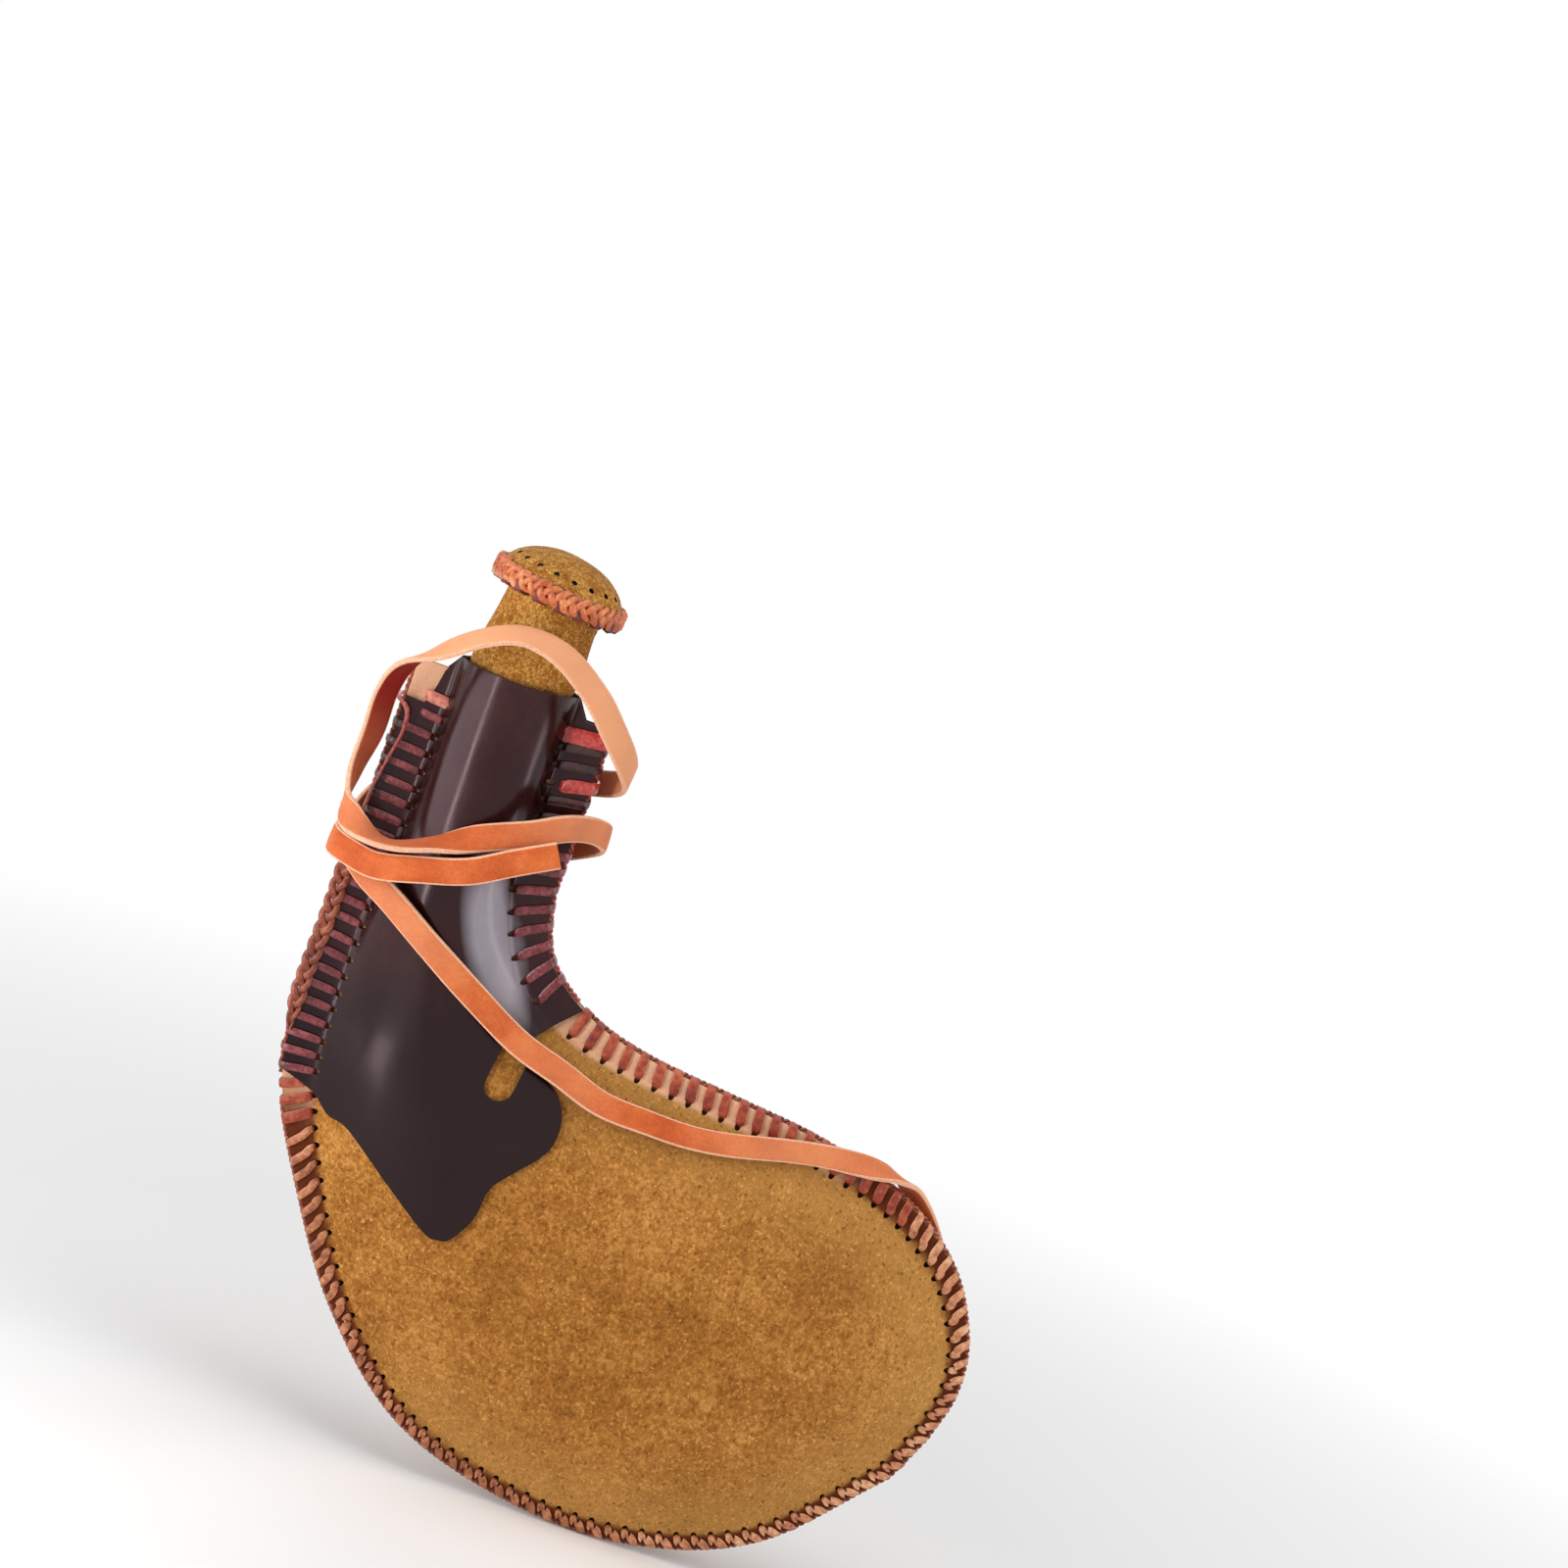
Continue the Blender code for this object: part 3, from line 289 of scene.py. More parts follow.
class Shader(Nodes):
    """A Principled material under construction."""

    def __init__(self, name, roughness, **constants):
        self.material = bpy.data.materials.new(name)
        self.material.use_nodes = True
        super().__init__(self.material.node_tree)
        self.bsdf = self.tree.nodes["Principled BSDF"]
        self.surface("Roughness", roughness)
        for key, value in constants.items():
            self.surface(key.replace("_", " "), value)
        self.place = self.tree.nodes.new("ShaderNodeTexCoord").outputs["Object"]

    def surface(self, name, value):
        """Sets or links one of the surface's own inputs."""
        self.feed(self.bsdf.inputs[name], value)

    def stretched(self, *scale):
        """The place, scaled by a factor for each axis."""
        return self.add("Mapping", 0, {"Vector": self.place, "Scale": scale})

    def noise(self, size, detail=2.0, rough=0.5, place=None, distortion=0.0):
        """A noise whose lumps are about the given size, from 0 to 1."""
        inputs = {"Scale": 1 / size, "Detail": detail, "Roughness": rough, "Distortion": distortion}
        return self.add("TexNoise", "Fac", {"Vector": place or self.place, **inputs})

    def cells(self, size):
        """Distances in a pattern of cells of the given size."""
        return self.add("TexVoronoi", "Distance", {"Vector": self.place, "Scale": 1 / size})

    def ramp(self, value, stops):
        """A colour from stops of (place, colour)."""
        made = self.tree.nodes.new("ShaderNodeValToRGB")
        elements = made.color_ramp.elements
        while len(elements) < len(stops):
            elements.new(0.5)
        for element, (at, color) in zip(elements, stops):
            element.position = at
            element.color = (*color, 1)
        self.feed(made.inputs[0], value)
        return made.outputs[0]

    def mix(self, factor, a, b):
        """A colour between two."""
        return self.add("Mix", 2, {0: factor, 6: a, 7: b}, data_type="RGBA")

    def spot(self, centre, turn, size, edge):
        """1 inside an ellipsoid that is turned about Y, fading to 0 at its surface."""
        inputs = {"Vector": self.place, "Location": centre, "Rotation": (0, turn, 0), "Scale": size}
        place = self.add("Mapping", 0, inputs, vector_type="TEXTURE")
        return self.spread(self.length(place), 1 + edge, 1 - edge)

    def attribute(self, name):
        return self.add("Attribute", "Fac", {}, attribute_name=name)

    def bump(self, height, distance, strength):
        inputs = {"Height": height, "Distance": distance, "Strength": strength}
        self.surface("Normal", self.add("Bump", 0, inputs))


# Suede: its grain, its mottling, and its colours towards the rim: painted light, painted shade and cream
SUEDE_GRAIN = 1.2 * MM
STOPPER_GRAIN = 0.9 * MM
SUEDE_PATCH = 32 * MM
NAP_DEPTH = 0.22 * MM
PAINTED_LIGHT_SHARE = 0.5
RIM_PAINTED_LIGHT = (0.56, 0.30, 0.080)
RIM_PAINTED_SHADE = (0.12, 0.024, 0.006)
RIM_CREAM = (0.84, 0.47, 0.29)


def suede_material(name, dark, base, light, grain):
    """Napped suede: a fine speckle with pale flecks over faint mottling, and a soft sheen.

    Towards the body's rim on the right it is paler with painted light; under the lace it is cream along the
    upper edge and dark with painted shade elsewhere.
    """
    s = Shader(
        name, 0.95, Specular_IOR_Level=0.15, Sheen_Weight=0.12, Sheen_Roughness=0.5, Sheen_Tint=(1, 0.8, 0.5)
    )
    fine = s.spread(s.noise(grain, 3, 0.7), 0.3, 0.7)
    nap = s.spread(s.noise(grain * 3, 2, 0.6, distortion=1.2), 0.3, 0.7)
    patch = s.spread(s.noise(SUEDE_PATCH, 3), 0.3, 0.7)
    tone = s.sum(fine, 0.44, s.sum(nap, 0.32, patch, 0.24), 1)
    plain = s.ramp(tone, [(0.2, dark), (0.5, base), (0.8, light)])
    flecks = s.spread(s.noise(grain * 0.9, 1), 0.62, 0.74, 0, 0.55)
    pits = s.spread(s.noise(grain * 1.1, 1, place=s.stretched(1.3, 1, 0.8)), 0.37, 0.29, 0, 0.6)
    pale = tuple(min(1.0, c * 1.5 + 0.03) for c in light)
    # Painted light: the suede paler towards the rim on the right
    plain = s.mix(s.math("MULTIPLY", s.attribute("rim_painted_light"), PAINTED_LIGHT_SHARE), plain, RIM_PAINTED_LIGHT)
    napped = s.mix(pits, s.mix(flecks, plain, pale), tuple(c * 0.6 for c in dark))
    # Painted shade: dark suede under and between the rim's lace bars
    napped = s.mix(s.attribute("rim_painted_shade"), napped, RIM_PAINTED_SHADE)
    s.surface("Base Color", s.mix(s.attribute("rim_cream"), napped, RIM_CREAM))
    s.bump(s.sum(fine, 0.7, s.noise(grain * 0.45, 2, 0.7), 0.3), NAP_DEPTH, 0.8)
    return s.material


# Smooth leather: its clouds, scuffs, creases and pores, painted shade that darkens it downwards, and a pale
# painted reflection
CLOUD = 30 * MM
SCUFF = 4 * MM
CREASE = 10 * MM
PORE = 0.75 * MM
CREASE_DEPTH = 0.22 * MM
# Painted shade: the height from which the leather darkens downwards, and the height where it is darkest
PAINTED_SHADE_FROM_Z = 64 * MM
PAINTED_SHADE_FULL_Z = 34 * MM
# The painted reflection: its middle, its size, its turn about Y and its colour
REFLECTION_PATCH_PLACE = (23 * MM, -16 * MM, 69 * MM)
REFLECTION_PATCH_SIZE = (9.5 * MM, 14 * MM, 29 * MM)
REFLECTION_PATCH_TURN = math.radians(-28.6)
PAINTED_REFLECTION_COLOR = (0.36, 0.335, 0.375)


def smooth_leather_material(name, dark, base, light):
    """Glazed smooth leather: fine pores, an uneven polish, and a pale painted reflection where the front
    bends to the body.
    """
    s = Shader(name, 0.3, Specular_IOR_Level=0.34, Specular_Tint=(1, 0.75, 0.80))
    cloud = s.noise(CLOUD, 4, 0.6)
    scuff = s.noise(SCUFF, 3, 0.6, s.stretched(1, 1, 0.25))
    plain = s.ramp(s.sum(cloud, 0.8, scuff, 0.2), [(0.36, dark), (0.5, base), (0.68, light)])
    height = s.add("SeparateXYZ", "Z", {0: s.place})
    # Painted shade: the base colour darkens towards the flap's foot
    low = s.spread(height, PAINTED_SHADE_FROM_Z, PAINTED_SHADE_FULL_Z, 0, 0.85)
    plain = s.mix(low, plain, tuple(0.3 * c for c in dark))
    # Painted reflection: a pale lilac patch in the base colour where the front bends to the body
    painted_reflection = s.spot(REFLECTION_PATCH_PLACE, REFLECTION_PATCH_TURN, REFLECTION_PATCH_SIZE, 0.22)
    painted_reflection = s.math("MULTIPLY", painted_reflection, s.spread(cloud, 0.3, 0.7, 0.75, 1.0))
    s.surface("Base Color", s.mix(painted_reflection, plain, PAINTED_REFLECTION_COLOR))
    s.surface("Roughness", s.spread(s.sum(scuff, 0.3, cloud, 0.7), 0.35, 0.65, 0.17, 0.28))
    creases = s.noise(CREASE, place=s.stretched(1, 1, 0.35))
    s.bump(s.sum(s.cells(PORE), 0.07, creases, 0.9), CREASE_DEPTH, 0.45)
    return s.material


# Laces, strap and cut edges: the sizes of their grain, and how deep it is
LACE_STREAK = 1.6 * MM
LACE_PATCH = 9 * MM
LACE_GRAIN = 0.7 * MM
LACE_GRAIN_DEPTH = 0.12 * MM
STRAP_GRAIN = 0.9 * MM
STRAP_PATCH = 12 * MM
STRAP_FUZZ = 0.35 * MM
EDGE_FIBRE = 0.5 * MM
FIBRE_DEPTH = 0.15 * MM


def thong_material(name, dark, base, light, roughness):
    """Dyed lace leather: streaks along it, darker worn creases, a soft gloss."""
    s = Shader(name, roughness, Specular_IOR_Level=0.55)
    streak = s.noise(LACE_STREAK, 3, 0.6)
    tone = s.sum(streak, 0.55, s.noise(LACE_PATCH), 0.45)
    s.surface("Base Color", s.ramp(tone, [(0.34, dark), (0.5, base), (0.68, light)]))
    s.surface("Roughness", s.spread(streak, 0.3, 0.7, roughness - 0.08, roughness + 0.16))
    s.bump(s.noise(LACE_GRAIN, 3, 0.6), LACE_GRAIN_DEPTH, 0.7)
    return s.material


def strap_material(name, dark, base, light, warm, deep):
    """Split strap leather: mottled fibres, paler where the face has rubbed, and a red flesh side, darkest
    with painted shade inside the loop.
    """
    s = Shader(name, 0.62, Specular_IOR_Level=0.25, Sheen_Weight=0.05, Sheen_Roughness=0.5)
    fibre = s.spread(s.noise(STRAP_GRAIN, 4, 0.7), 0.3, 0.7)
    patch = s.spread(s.noise(STRAP_PATCH, 3), 0.3, 0.7)
    plain = s.ramp(s.sum(fibre, 0.4, patch, 0.6), [(0.2, dark), (0.5, base), (0.85, light)])
    worn = s.mix(s.math("MULTIPLY", s.attribute("rubbed"), 0.85), plain, warm)
    # The flesh side's own red, deepened to painted shade where the loop's inner face shows
    s.surface("Base Color", s.mix(s.attribute("flesh_side_and_shade"), worn, deep))
    s.surface("Roughness", s.spread(fibre, 0, 1, 0.5, 0.72))
    s.bump(s.sum(fibre, 0.6, s.noise(STRAP_FUZZ), 0.4), FIBRE_DEPTH, 0.8)
    return s.material


def cut_edge_material(name, dark, light):
    """The raw cut edge of leather: dense short fibres."""
    s = Shader(name, 0.85, Specular_IOR_Level=0.25)
    fibre = s.noise(EDGE_FIBRE, 3, 0.7)
    s.surface("Base Color", s.ramp(fibre, [(0.35, dark), (0.65, light)]))
    s.bump(fibre, FIBRE_DEPTH, 0.8)
    return s.material


# Wood, plastic and latex: the sizes of their rings or clouds and of their grain, and the depth of both
WOOD_RING = 2.2 * MM
PLASTIC_CLOUD = 5 * MM
PLASTIC_GRAIN = 0.4 * MM
LATEX_CLOUD = 8 * MM
LATEX_GRAIN = 1.5 * MM
PLASTIC_DEPTH = 0.05 * MM
GRAIN_DEPTH = 0.1 * MM


def wood_material():
    """Plain turned wood, its rings along the axis."""
    s = Shader("wood_finish", 0.6)
    rings = s.noise(WOOD_RING, 4, 0.6, s.stretched(1, 1, 0.08), 0.8)
    stops = [(0.3, (0.30, 0.17, 0.08)), (0.5, (0.50, 0.33, 0.18)), (0.72, (0.62, 0.45, 0.27))]
    s.surface("Base Color", s.ramp(rings, stops))
    s.bump(rings, GRAIN_DEPTH, 0.5)
    return s.material


def plastic_material():
    """Off-white moulded plastic, faintly mottled."""
    s = Shader("plastic_finish", 0.42)
    stops = [(0.3, (0.55, 0.54, 0.50)), (0.7, (0.70, 0.70, 0.66))]
    s.surface("Base Color", s.ramp(s.noise(PLASTIC_CLOUD, 3), stops))
    s.bump(s.noise(PLASTIC_GRAIN), PLASTIC_DEPTH, 0.4)
    return s.material


def latex_material():
    """Thin latex, a little cloudy."""
    s = Shader("latex_finish", 0.5, Sheen_Weight=0.1)
    stops = [(0.3, (0.47, 0.41, 0.32)), (0.7, (0.62, 0.57, 0.48))]
    s.surface("Base Color", s.ramp(s.noise(LATEX_CLOUD, 3), stops))
    s.bump(s.noise(LATEX_GRAIN, 3), GRAIN_DEPTH, 0.5)
    return s.material


# Each lace's dark, plain and light colours, and its roughness
LACES = {
    "neck_lace": ((0.06, 0.004, 0.006), (0.17, 0.017, 0.023), (0.34, 0.075, 0.085), 0.24),
    "rim_lace": ((0.11, 0.007, 0.002), (0.31, 0.030, 0.005), (0.52, 0.12, 0.042), 0.42),
    "red_lace": ((0.22, 0.008, 0.006), (0.46, 0.030, 0.026), (0.64, 0.12, 0.10), 0.2),
    "black_lace": ((0.010, 0.002, 0.002), (0.035, 0.004, 0.005), (0.10, 0.014, 0.016), 0.3),
    "salmon_lace": ((0.34, 0.05, 0.03), (0.58, 0.16, 0.11), (0.80, 0.36, 0.26), 0.3),
    "cap_lace": ((0.26, 0.03, 0.005), (0.60, 0.14, 0.034), (0.86, 0.35, 0.15), 0.36),
    # Dark lace: painted shade in the gaps of the cap's braid
    "dark_lace": ((0.05, 0.005, 0.005), (0.15, 0.014, 0.01), (0.28, 0.04, 0.025), 0.5),
    "pink_lace": ((0.30, 0.04, 0.04), (0.52, 0.12, 0.10), (0.74, 0.30, 0.25), 0.38),
    "tan_lace": ((0.28, 0.07, 0.03), (0.58, 0.22, 0.095), (0.84, 0.50, 0.29), 0.45),
    "bark_lace": ((0.14, 0.03, 0.01), (0.42, 0.13, 0.045), (0.68, 0.32, 0.15), 0.45),
    "rust_lace": ((0.09, 0.010, 0.003), (0.24, 0.040, 0.012), (0.46, 0.14, 0.07), 0.34),
}

# The dark and light colours of cut edges and hole walls; the near-black hole walls are painted shade
CUT_EDGES = {
    "cap_lace_edge": ((0.42, 0.07, 0.015), (0.86, 0.36, 0.16)),
    "strap_edge": ((0.76, 0.33, 0.18), (0.94, 0.58, 0.40)),
    "lace_edge": ((0.26, 0.035, 0.035), (0.55, 0.17, 0.14)),
    "rim_lace_edge": ((0.46, 0.16, 0.08), (0.80, 0.48, 0.32)),
    # Hole walls: near-black painted shade, also on the sheet under the cap
    "hole_wall": ((0.008, 0.004, 0.003), (0.03, 0.012, 0.008)),
    "sleeve_edge": ((0.03, 0.016, 0.012), (0.09, 0.05, 0.035)),
    "suede_edge": ((0.36, 0.17, 0.05), (0.66, 0.40, 0.18)),
}

FINISHES = {
    "suede": suede_material(
        "suede_finish", (0.21, 0.070, 0.009), (0.38, 0.147, 0.024), (0.59, 0.275, 0.068), SUEDE_GRAIN
    ),
    "stopper_suede": suede_material(
        "stopper_suede_finish", (0.22, 0.068, 0.006), (0.39, 0.145, 0.019), (0.68, 0.38, 0.10), STOPPER_GRAIN
    ),
    "sleeve": smooth_leather_material(
        "sleeve_finish", (0.012, 0.002, 0.002), (0.022, 0.004, 0.004), (0.038, 0.011, 0.010)
    ),
    "strap": strap_material(
        "strap_finish", (0.48, 0.070, 0.009), (0.61, 0.110, 0.018), (0.72, 0.175, 0.042), (0.90, 0.43, 0.22),
        (0.27, 0.006, 0.001),
    ),
    "wood": wood_material(),
    "plastic": plastic_material(),
    "latex": latex_material(),
    **{name: thong_material(name + "_finish", *look) for name, look in LACES.items()},
    **{name: cut_edge_material(name, *look) for name, look in CUT_EDGES.items()},
}


# Making pieces

WELD = 0.001 * MM


def add_piece(name, mesh, finishes, body, slot, *nodes):
    """A piece that rides on its body, with its finishes and the nodes that it replaces. Its slot is not used.
    """
    for finish in finishes:
        mesh.materials.append(FINISHES[finish])
    piece = put(name, mesh)
    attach(piece, body)
    if nodes:
        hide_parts(*nodes)
    return piece


def weld(bm):
    bmesh.ops.remove_doubles(bm, verts=bm.verts, dist=WELD)


def drop_slivers(bm):
    bmesh.ops.dissolve_degenerate(bm, edges=bm.edges, dist=WELD)


def face_out(bm):
    bmesh.ops.recalc_face_normals(bm, faces=bm.faces)


def rework(mesh, *steps):
    """Runs steps such as the three above on a mesh."""
    bm = bmesh.new()
    bm.from_mesh(mesh)
    for step in steps:
        step(bm)
    bm.to_mesh(mesh)
    bm.free()


def smooth(mesh, sharp):
    """Smooth shading, with edges kept sharp from an angle in degrees up."""
    mesh.shade_smooth()
    mesh.set_sharp_from_angle(angle=math.radians(sharp))


def mesh_of(name, verts, faces, marks=None, sharp=50, mends=()):
    """A smooth mesh. A face's mark is its place in the piece's list of finishes."""
    mesh = bpy.data.meshes.new(name)
    mesh.from_pydata([tuple(v) for v in verts], [], faces)
    if marks is not None:
        mesh.polygons.foreach_set("material_index", marks)
    rework(mesh, *mends, face_out)
    smooth(mesh, sharp)
    return mesh


def cutter_of(name, bm, finish):
    """A cutter from a finished bmesh, with the finish that the cut faces get."""
    mesh = bpy.data.meshes.new(name)
    bm.to_mesh(mesh)
    bm.free()
    mesh.materials.append(FINISHES[finish])
    return put(name, mesh)


def carve(piece, cutter, operation):
    """Applies a Boolean of the piece with a cutter, and throws the cutter away."""
    step = piece.modifiers.new("carve", "BOOLEAN")
    step.operation = operation
    step.object = cutter
    step.solver = "EXACT"
    step.material_mode = "TRANSFER"
    made = bpy.data.meshes.new_from_object(piece.evaluated_get(bpy.context.evaluated_depsgraph_get()))
    piece.modifiers.clear()
    old = piece.data
    piece.data = made
    bpy.data.meshes.remove(old)
    bpy.data.objects.remove(cutter)


def cut(piece, outlines, y_from, y_to, finish, operation="DIFFERENCE"):
    """Carves a piece with outlines of the seam's plane, each drawn out along Y."""
    bm = bmesh.new()
    for outline in outlines:
        near = [bm.verts.new((x, y_from, z)) for x, z in outline]
        far = [bm.verts.new((x, y_to, z)) for x, z in outline]
        bm.faces.new(near)
        bm.faces.new(far[::-1])
        for k, after in round_steps(len(outline)):
            bm.faces.new((near[after], near[k], far[k], far[after]))
    face_out(bm)
    carve(piece, cutter_of("cutter", bm, finish), operation)


def add_values(mesh, name, values):
    """Gives each of a mesh's points a value that a material can read."""
    mesh.attributes.new(name, "FLOAT", "POINT").data.foreach_set("value", values)


def around(count):
    """Angles at even steps round a circle."""
    return [2 * math.pi * k / count for k in range(count)]


def round_steps(count):
    """Each number round a ring, with the one after it."""
    return [(k, (k + 1) % count) for k in range(count)]


def band(a, b, ring):
    """The faces between two rings of points, by the numbers of the rings."""
    return [(a * ring + k, a * ring + n, b * ring + n, b * ring + k) for k, n in round_steps(ring)]


def tube(verts, ring, edges, end_mark):
    """The faces of a capped tube with so many points a ring, and marks: 1 for edges, and one for its ends."""
    last = len(verts) // ring - 1
    faces = [face for i in range(last) for face in band(i, i + 1, ring)]
    marks = [int(k in edges) for k in range(ring)] * last
    faces += [tuple(range(ring))[::-1], tuple(last * ring + k for k in range(ring))]
    return faces, marks + [end_mark] * 2


def distances(points):
    """How far along a polyline each of its points is."""
    return np.concatenate([[0], np.cumsum(np.linalg.norm(np.diff(points, axis=0), axis=1))])


def even_steps(points, at, count):
    """Points at even steps of the distances at."""
    places = np.linspace(0, at[-1], count + 1)
    return np.stack([np.interp(places, at, column) for column in points.T], axis=1)


def catmull_rom(points, per_span, before=None):
    """Points on the smooth curve through the given ones, which it keeps."""
    p = np.array(points, float)
    ends = [2 * p[0] - p[1] if before is None else np.array(before), *p, 2 * p[-1] - p[-2]]
    found = []
    for a, b, c, d in zip(ends, ends[1:], ends[2:], ends[3:]):
        for k in range(per_span):
            t = k / per_span
            bend = (2 * a - 5 * b + 4 * c - d) * t**2
            twist = (3 * b - a - 3 * c + d) * t**3
            found.append((2 * b + (c - a) * t + bend + twist) / 2)
    return np.array(found + [p[-1]])


# The skin's shape

# How finely the skins are drawn, and how often a cross row's corners are eased
NECK_ROWS = 20
ROWS_PER_SPAN = 8
COLUMNS = 72
SAMPLES = 200
EASE_ROUNDS = 3

# The skin's dents: their width, height and depth. They fade out over SINK_RUN towards the flange.
DENTS = {
    "broad": (34 * MM, 45 * MM, 0.55 * MM),
    "small": (13 * MM, 30 * MM, 0.30 * MM),
    "folds": (5.5 * MM, 55 * MM, 0.22 * MM),
}
SINK_RUN = 6 * MM


def row_ends(top_z):
    """The right and left ends of the skin's cross rows, as (x, z, flange), from the neck's top down."""
    sides = []
    for side, shares in ((1, RIGHT_ROW_SHARES), (-1, LEFT_ROW_SHARES)):
        edge_x = side * (SKIN_R + NECK_FLANGE)
        straight = [(edge_x, z, NECK_FLANGE) for z in np.linspace(top_z, NECK_FOOT_Z, NECK_ROWS)]
        body = [(x * REACH, z * (RISE if z > 0 else DROP), f * RIM_FLANGE) for x, z, f in shares]
        lead_in = (edge_x, NECK_FOOT_Z + (MOUTH_Z + SLEEVE_OVERRUN - NECK_FOOT_Z) / 5, NECK_FLANGE)
        curve = catmull_rom([straight[-1], *body], ROWS_PER_SPAN, lead_in)
        sides.append(np.array([*straight[:-1], *curve]))
    return sides


RIGHT_ENDS, LEFT_ENDS = row_ends(MOUTH_Z + SLEEVE_OVERRUN)
OUTLINE = np.concatenate([RIGHT_ENDS, LEFT_ENDS[::-1]])


def past_flange(xz):
    """How far inside the flange's inner line each point of the seam's plane is."""
    a = OUTLINE[:-1]
    run = OUTLINE[1:, :2] - a[:, :2]
    to = xz[:, None, :] - a[None, :, :2]
    t = np.clip((to * run).sum(2) / np.maximum((run * run).sum(1), 1e-12), 0, 1)
    away = np.linalg.norm(to - t[..., None] * run, axis=2)
    k = away.argmin(1)
    i = np.arange(len(xz))
    flange = a[k, 2] + t[i, k] * (OUTLINE[k + 1, 2] - a[k, 2])
    return away[i, k] - flange


def neckness(z):
    """1 on the straight neck and 0 on the body, smoothly between."""
    t = np.clip((z - RISE / 2) / (NECK_FOOT_Z - RISE / 2), 0, 1)
    return t * t * (3 - 2 * t)


def skin_height(xz):
    """How far the skin's inner face stands off the seam's plane."""
    neck = neckness(xz[:, 1])
    run = neck * SKIN_R + (1 - neck) * DOME_RUN
    left = 1 - np.clip(past_flange(xz) / run, 0, 1)
    return neck * SKIN_R * np.sqrt(1 - left**2) + (1 - neck) * BODY_DEPTH * (1 - left**DOME_POWER)


def soft_dents(x, z, side):
    """How far the skin has sunk at a place: broad soft hollows, and long faint folds down the neck."""

    def dent(kind, seed):
        width, height, depth = DENTS[kind]
        return depth * (0.5 + noise.noise(Vector((x / width, seed, z / height))))

    neck = float(neckness(z))
    return dent("broad", side * 3.7) + dent("small", 9.1 + side) + neck * dent("folds", 21.3 + side)


def eased(points):
    """A polyline with its corners eased and its ends kept."""
    for _ in range(EASE_ROUNDS):
        middle = (points[:-2] + points[2:]) / 2
        points[1:-1] += 0.5 * (middle - points[1:-1])
    return points


def layer(side, top_z, offset, rows=None):
    """A face of the skin or sleeve as a grid of points: the skin's inner face, moved out by the offset."""
    right, left = row_ends(top_z)
    crowded = 0.5 - 0.5 * np.cos(np.linspace(0, math.pi, SAMPLES))
    t = np.unique(np.concatenate([np.linspace(0, 1, SAMPLES), crowded]))
    grid = []
    for start, end in zip(right[:rows], left[:rows]):
        across = end[:2] - start[:2]
        length = np.linalg.norm(across)
        s = t * length
        y = skin_height(start[:2] + t[:, None] * across) + SEAM_GAP / 2
        if offset:
            reach = offset**2 - (s[:, None] - s[None, :]) ** 2
            y = np.where(reach >= 0, y[None, :] + np.sqrt(np.maximum(reach, 0)), 0).max(1)
        line = np.stack([s, y], axis=1)
        line = eased(even_steps(line, distances(line), COLUMNS))
        xz = start[:2] + (line[:, :1] / length) * across
        inside = np.clip(past_flange(xz) / SINK_RUN, 0, 1)
        sunk = np.array([soft_dents(x, z, side) for x, z in xz]) * inside
        grid.append(np.stack([xz[:, 0], side * (line[:, 1] - sunk), xz[:, 1]], axis=1))
    return np.array(grid)


def shell_mesh(name, outer, inner):
    """A closed shell between two grids, with its borders joined. Border faces get the second finish."""
    rows, columns = outer.shape[:2]
    verts = np.concatenate([outer.reshape(-1, 3), inner.reshape(-1, 3)])
    shift = rows * columns
    faces = []
    for i in range(rows - 1):
        for a in range(i * columns, (i + 1) * columns - 1):
            b = a + columns
            faces += [(a, a + 1, b + 1, b), (a + shift, b + shift, b + 1 + shift, a + 1 + shift)]
    marks = [0] * len(faces)
    number = np.arange(shift).reshape(rows, columns)
    border = np.concatenate([number[0], number[1:, -1], number[-1, -2::-1], number[-2:0:-1, 0]]).tolist()
    faces += [(b, a, a + shift, b + shift) for a, b in zip(border, border[1:] + border[:1])]
    return mesh_of(name, verts, faces, marks + [1] * len(border))


# Places along the seam

OUTLINE_AT = distances(OUTLINE[:, :2])
Spot = namedtuple("Spot", "edge inward run flange")
Seam = namedtuple("Seam", "first last stack lean width")


def along_outline(side, z):
    """How far along the outline it reaches a height, on the right (1) or the left (-1)."""
    count = len(RIGHT_ENDS)
    part = slice(0, count // 2) if side > 0 else slice(count + count // 3, None)
    heights, places = OUTLINE[part, 1], OUTLINE_AT[part]
    order = np.argsort(heights)
    return float(np.interp(z, heights[order], places[order]))


def on_outline(s):
    """The outline's point at a distance along it, its inward and running directions and its flange width."""
    x, z, flange = (float(np.interp(s, OUTLINE_AT, OUTLINE[:, k])) for k in range(3))
    ahead, behind = (
        np.array([np.interp(s + d, OUTLINE_AT, OUTLINE[:, k]) for k in range(2)])
        for d in (LACE_PITCH, -LACE_PITCH)
    )
    run = (ahead - behind) / np.linalg.norm(ahead - behind)
    return Spot(Vector((x, 0, z)), Vector((run[1], 0, -run[0])), Vector((run[0], 0, run[1])), flange)


def hole_reach(spot):
    """How far in from the edge the lace holes are."""
    neck = float(neckness(spot.edge.z))
    return spot.flange - neck * NECK_LACE_MARGIN - (1 - neck) * LACE_MARGIN


def seam_of(start, end, stack, lean, width):
    """A seam between two places, each the outline's side and a height.

    It has half of its stack's thickness, how far a bar leans towards its start, and its bars' width.
    """
    return Seam(along_outline(*start), along_outline(*end), stack, lean, width)


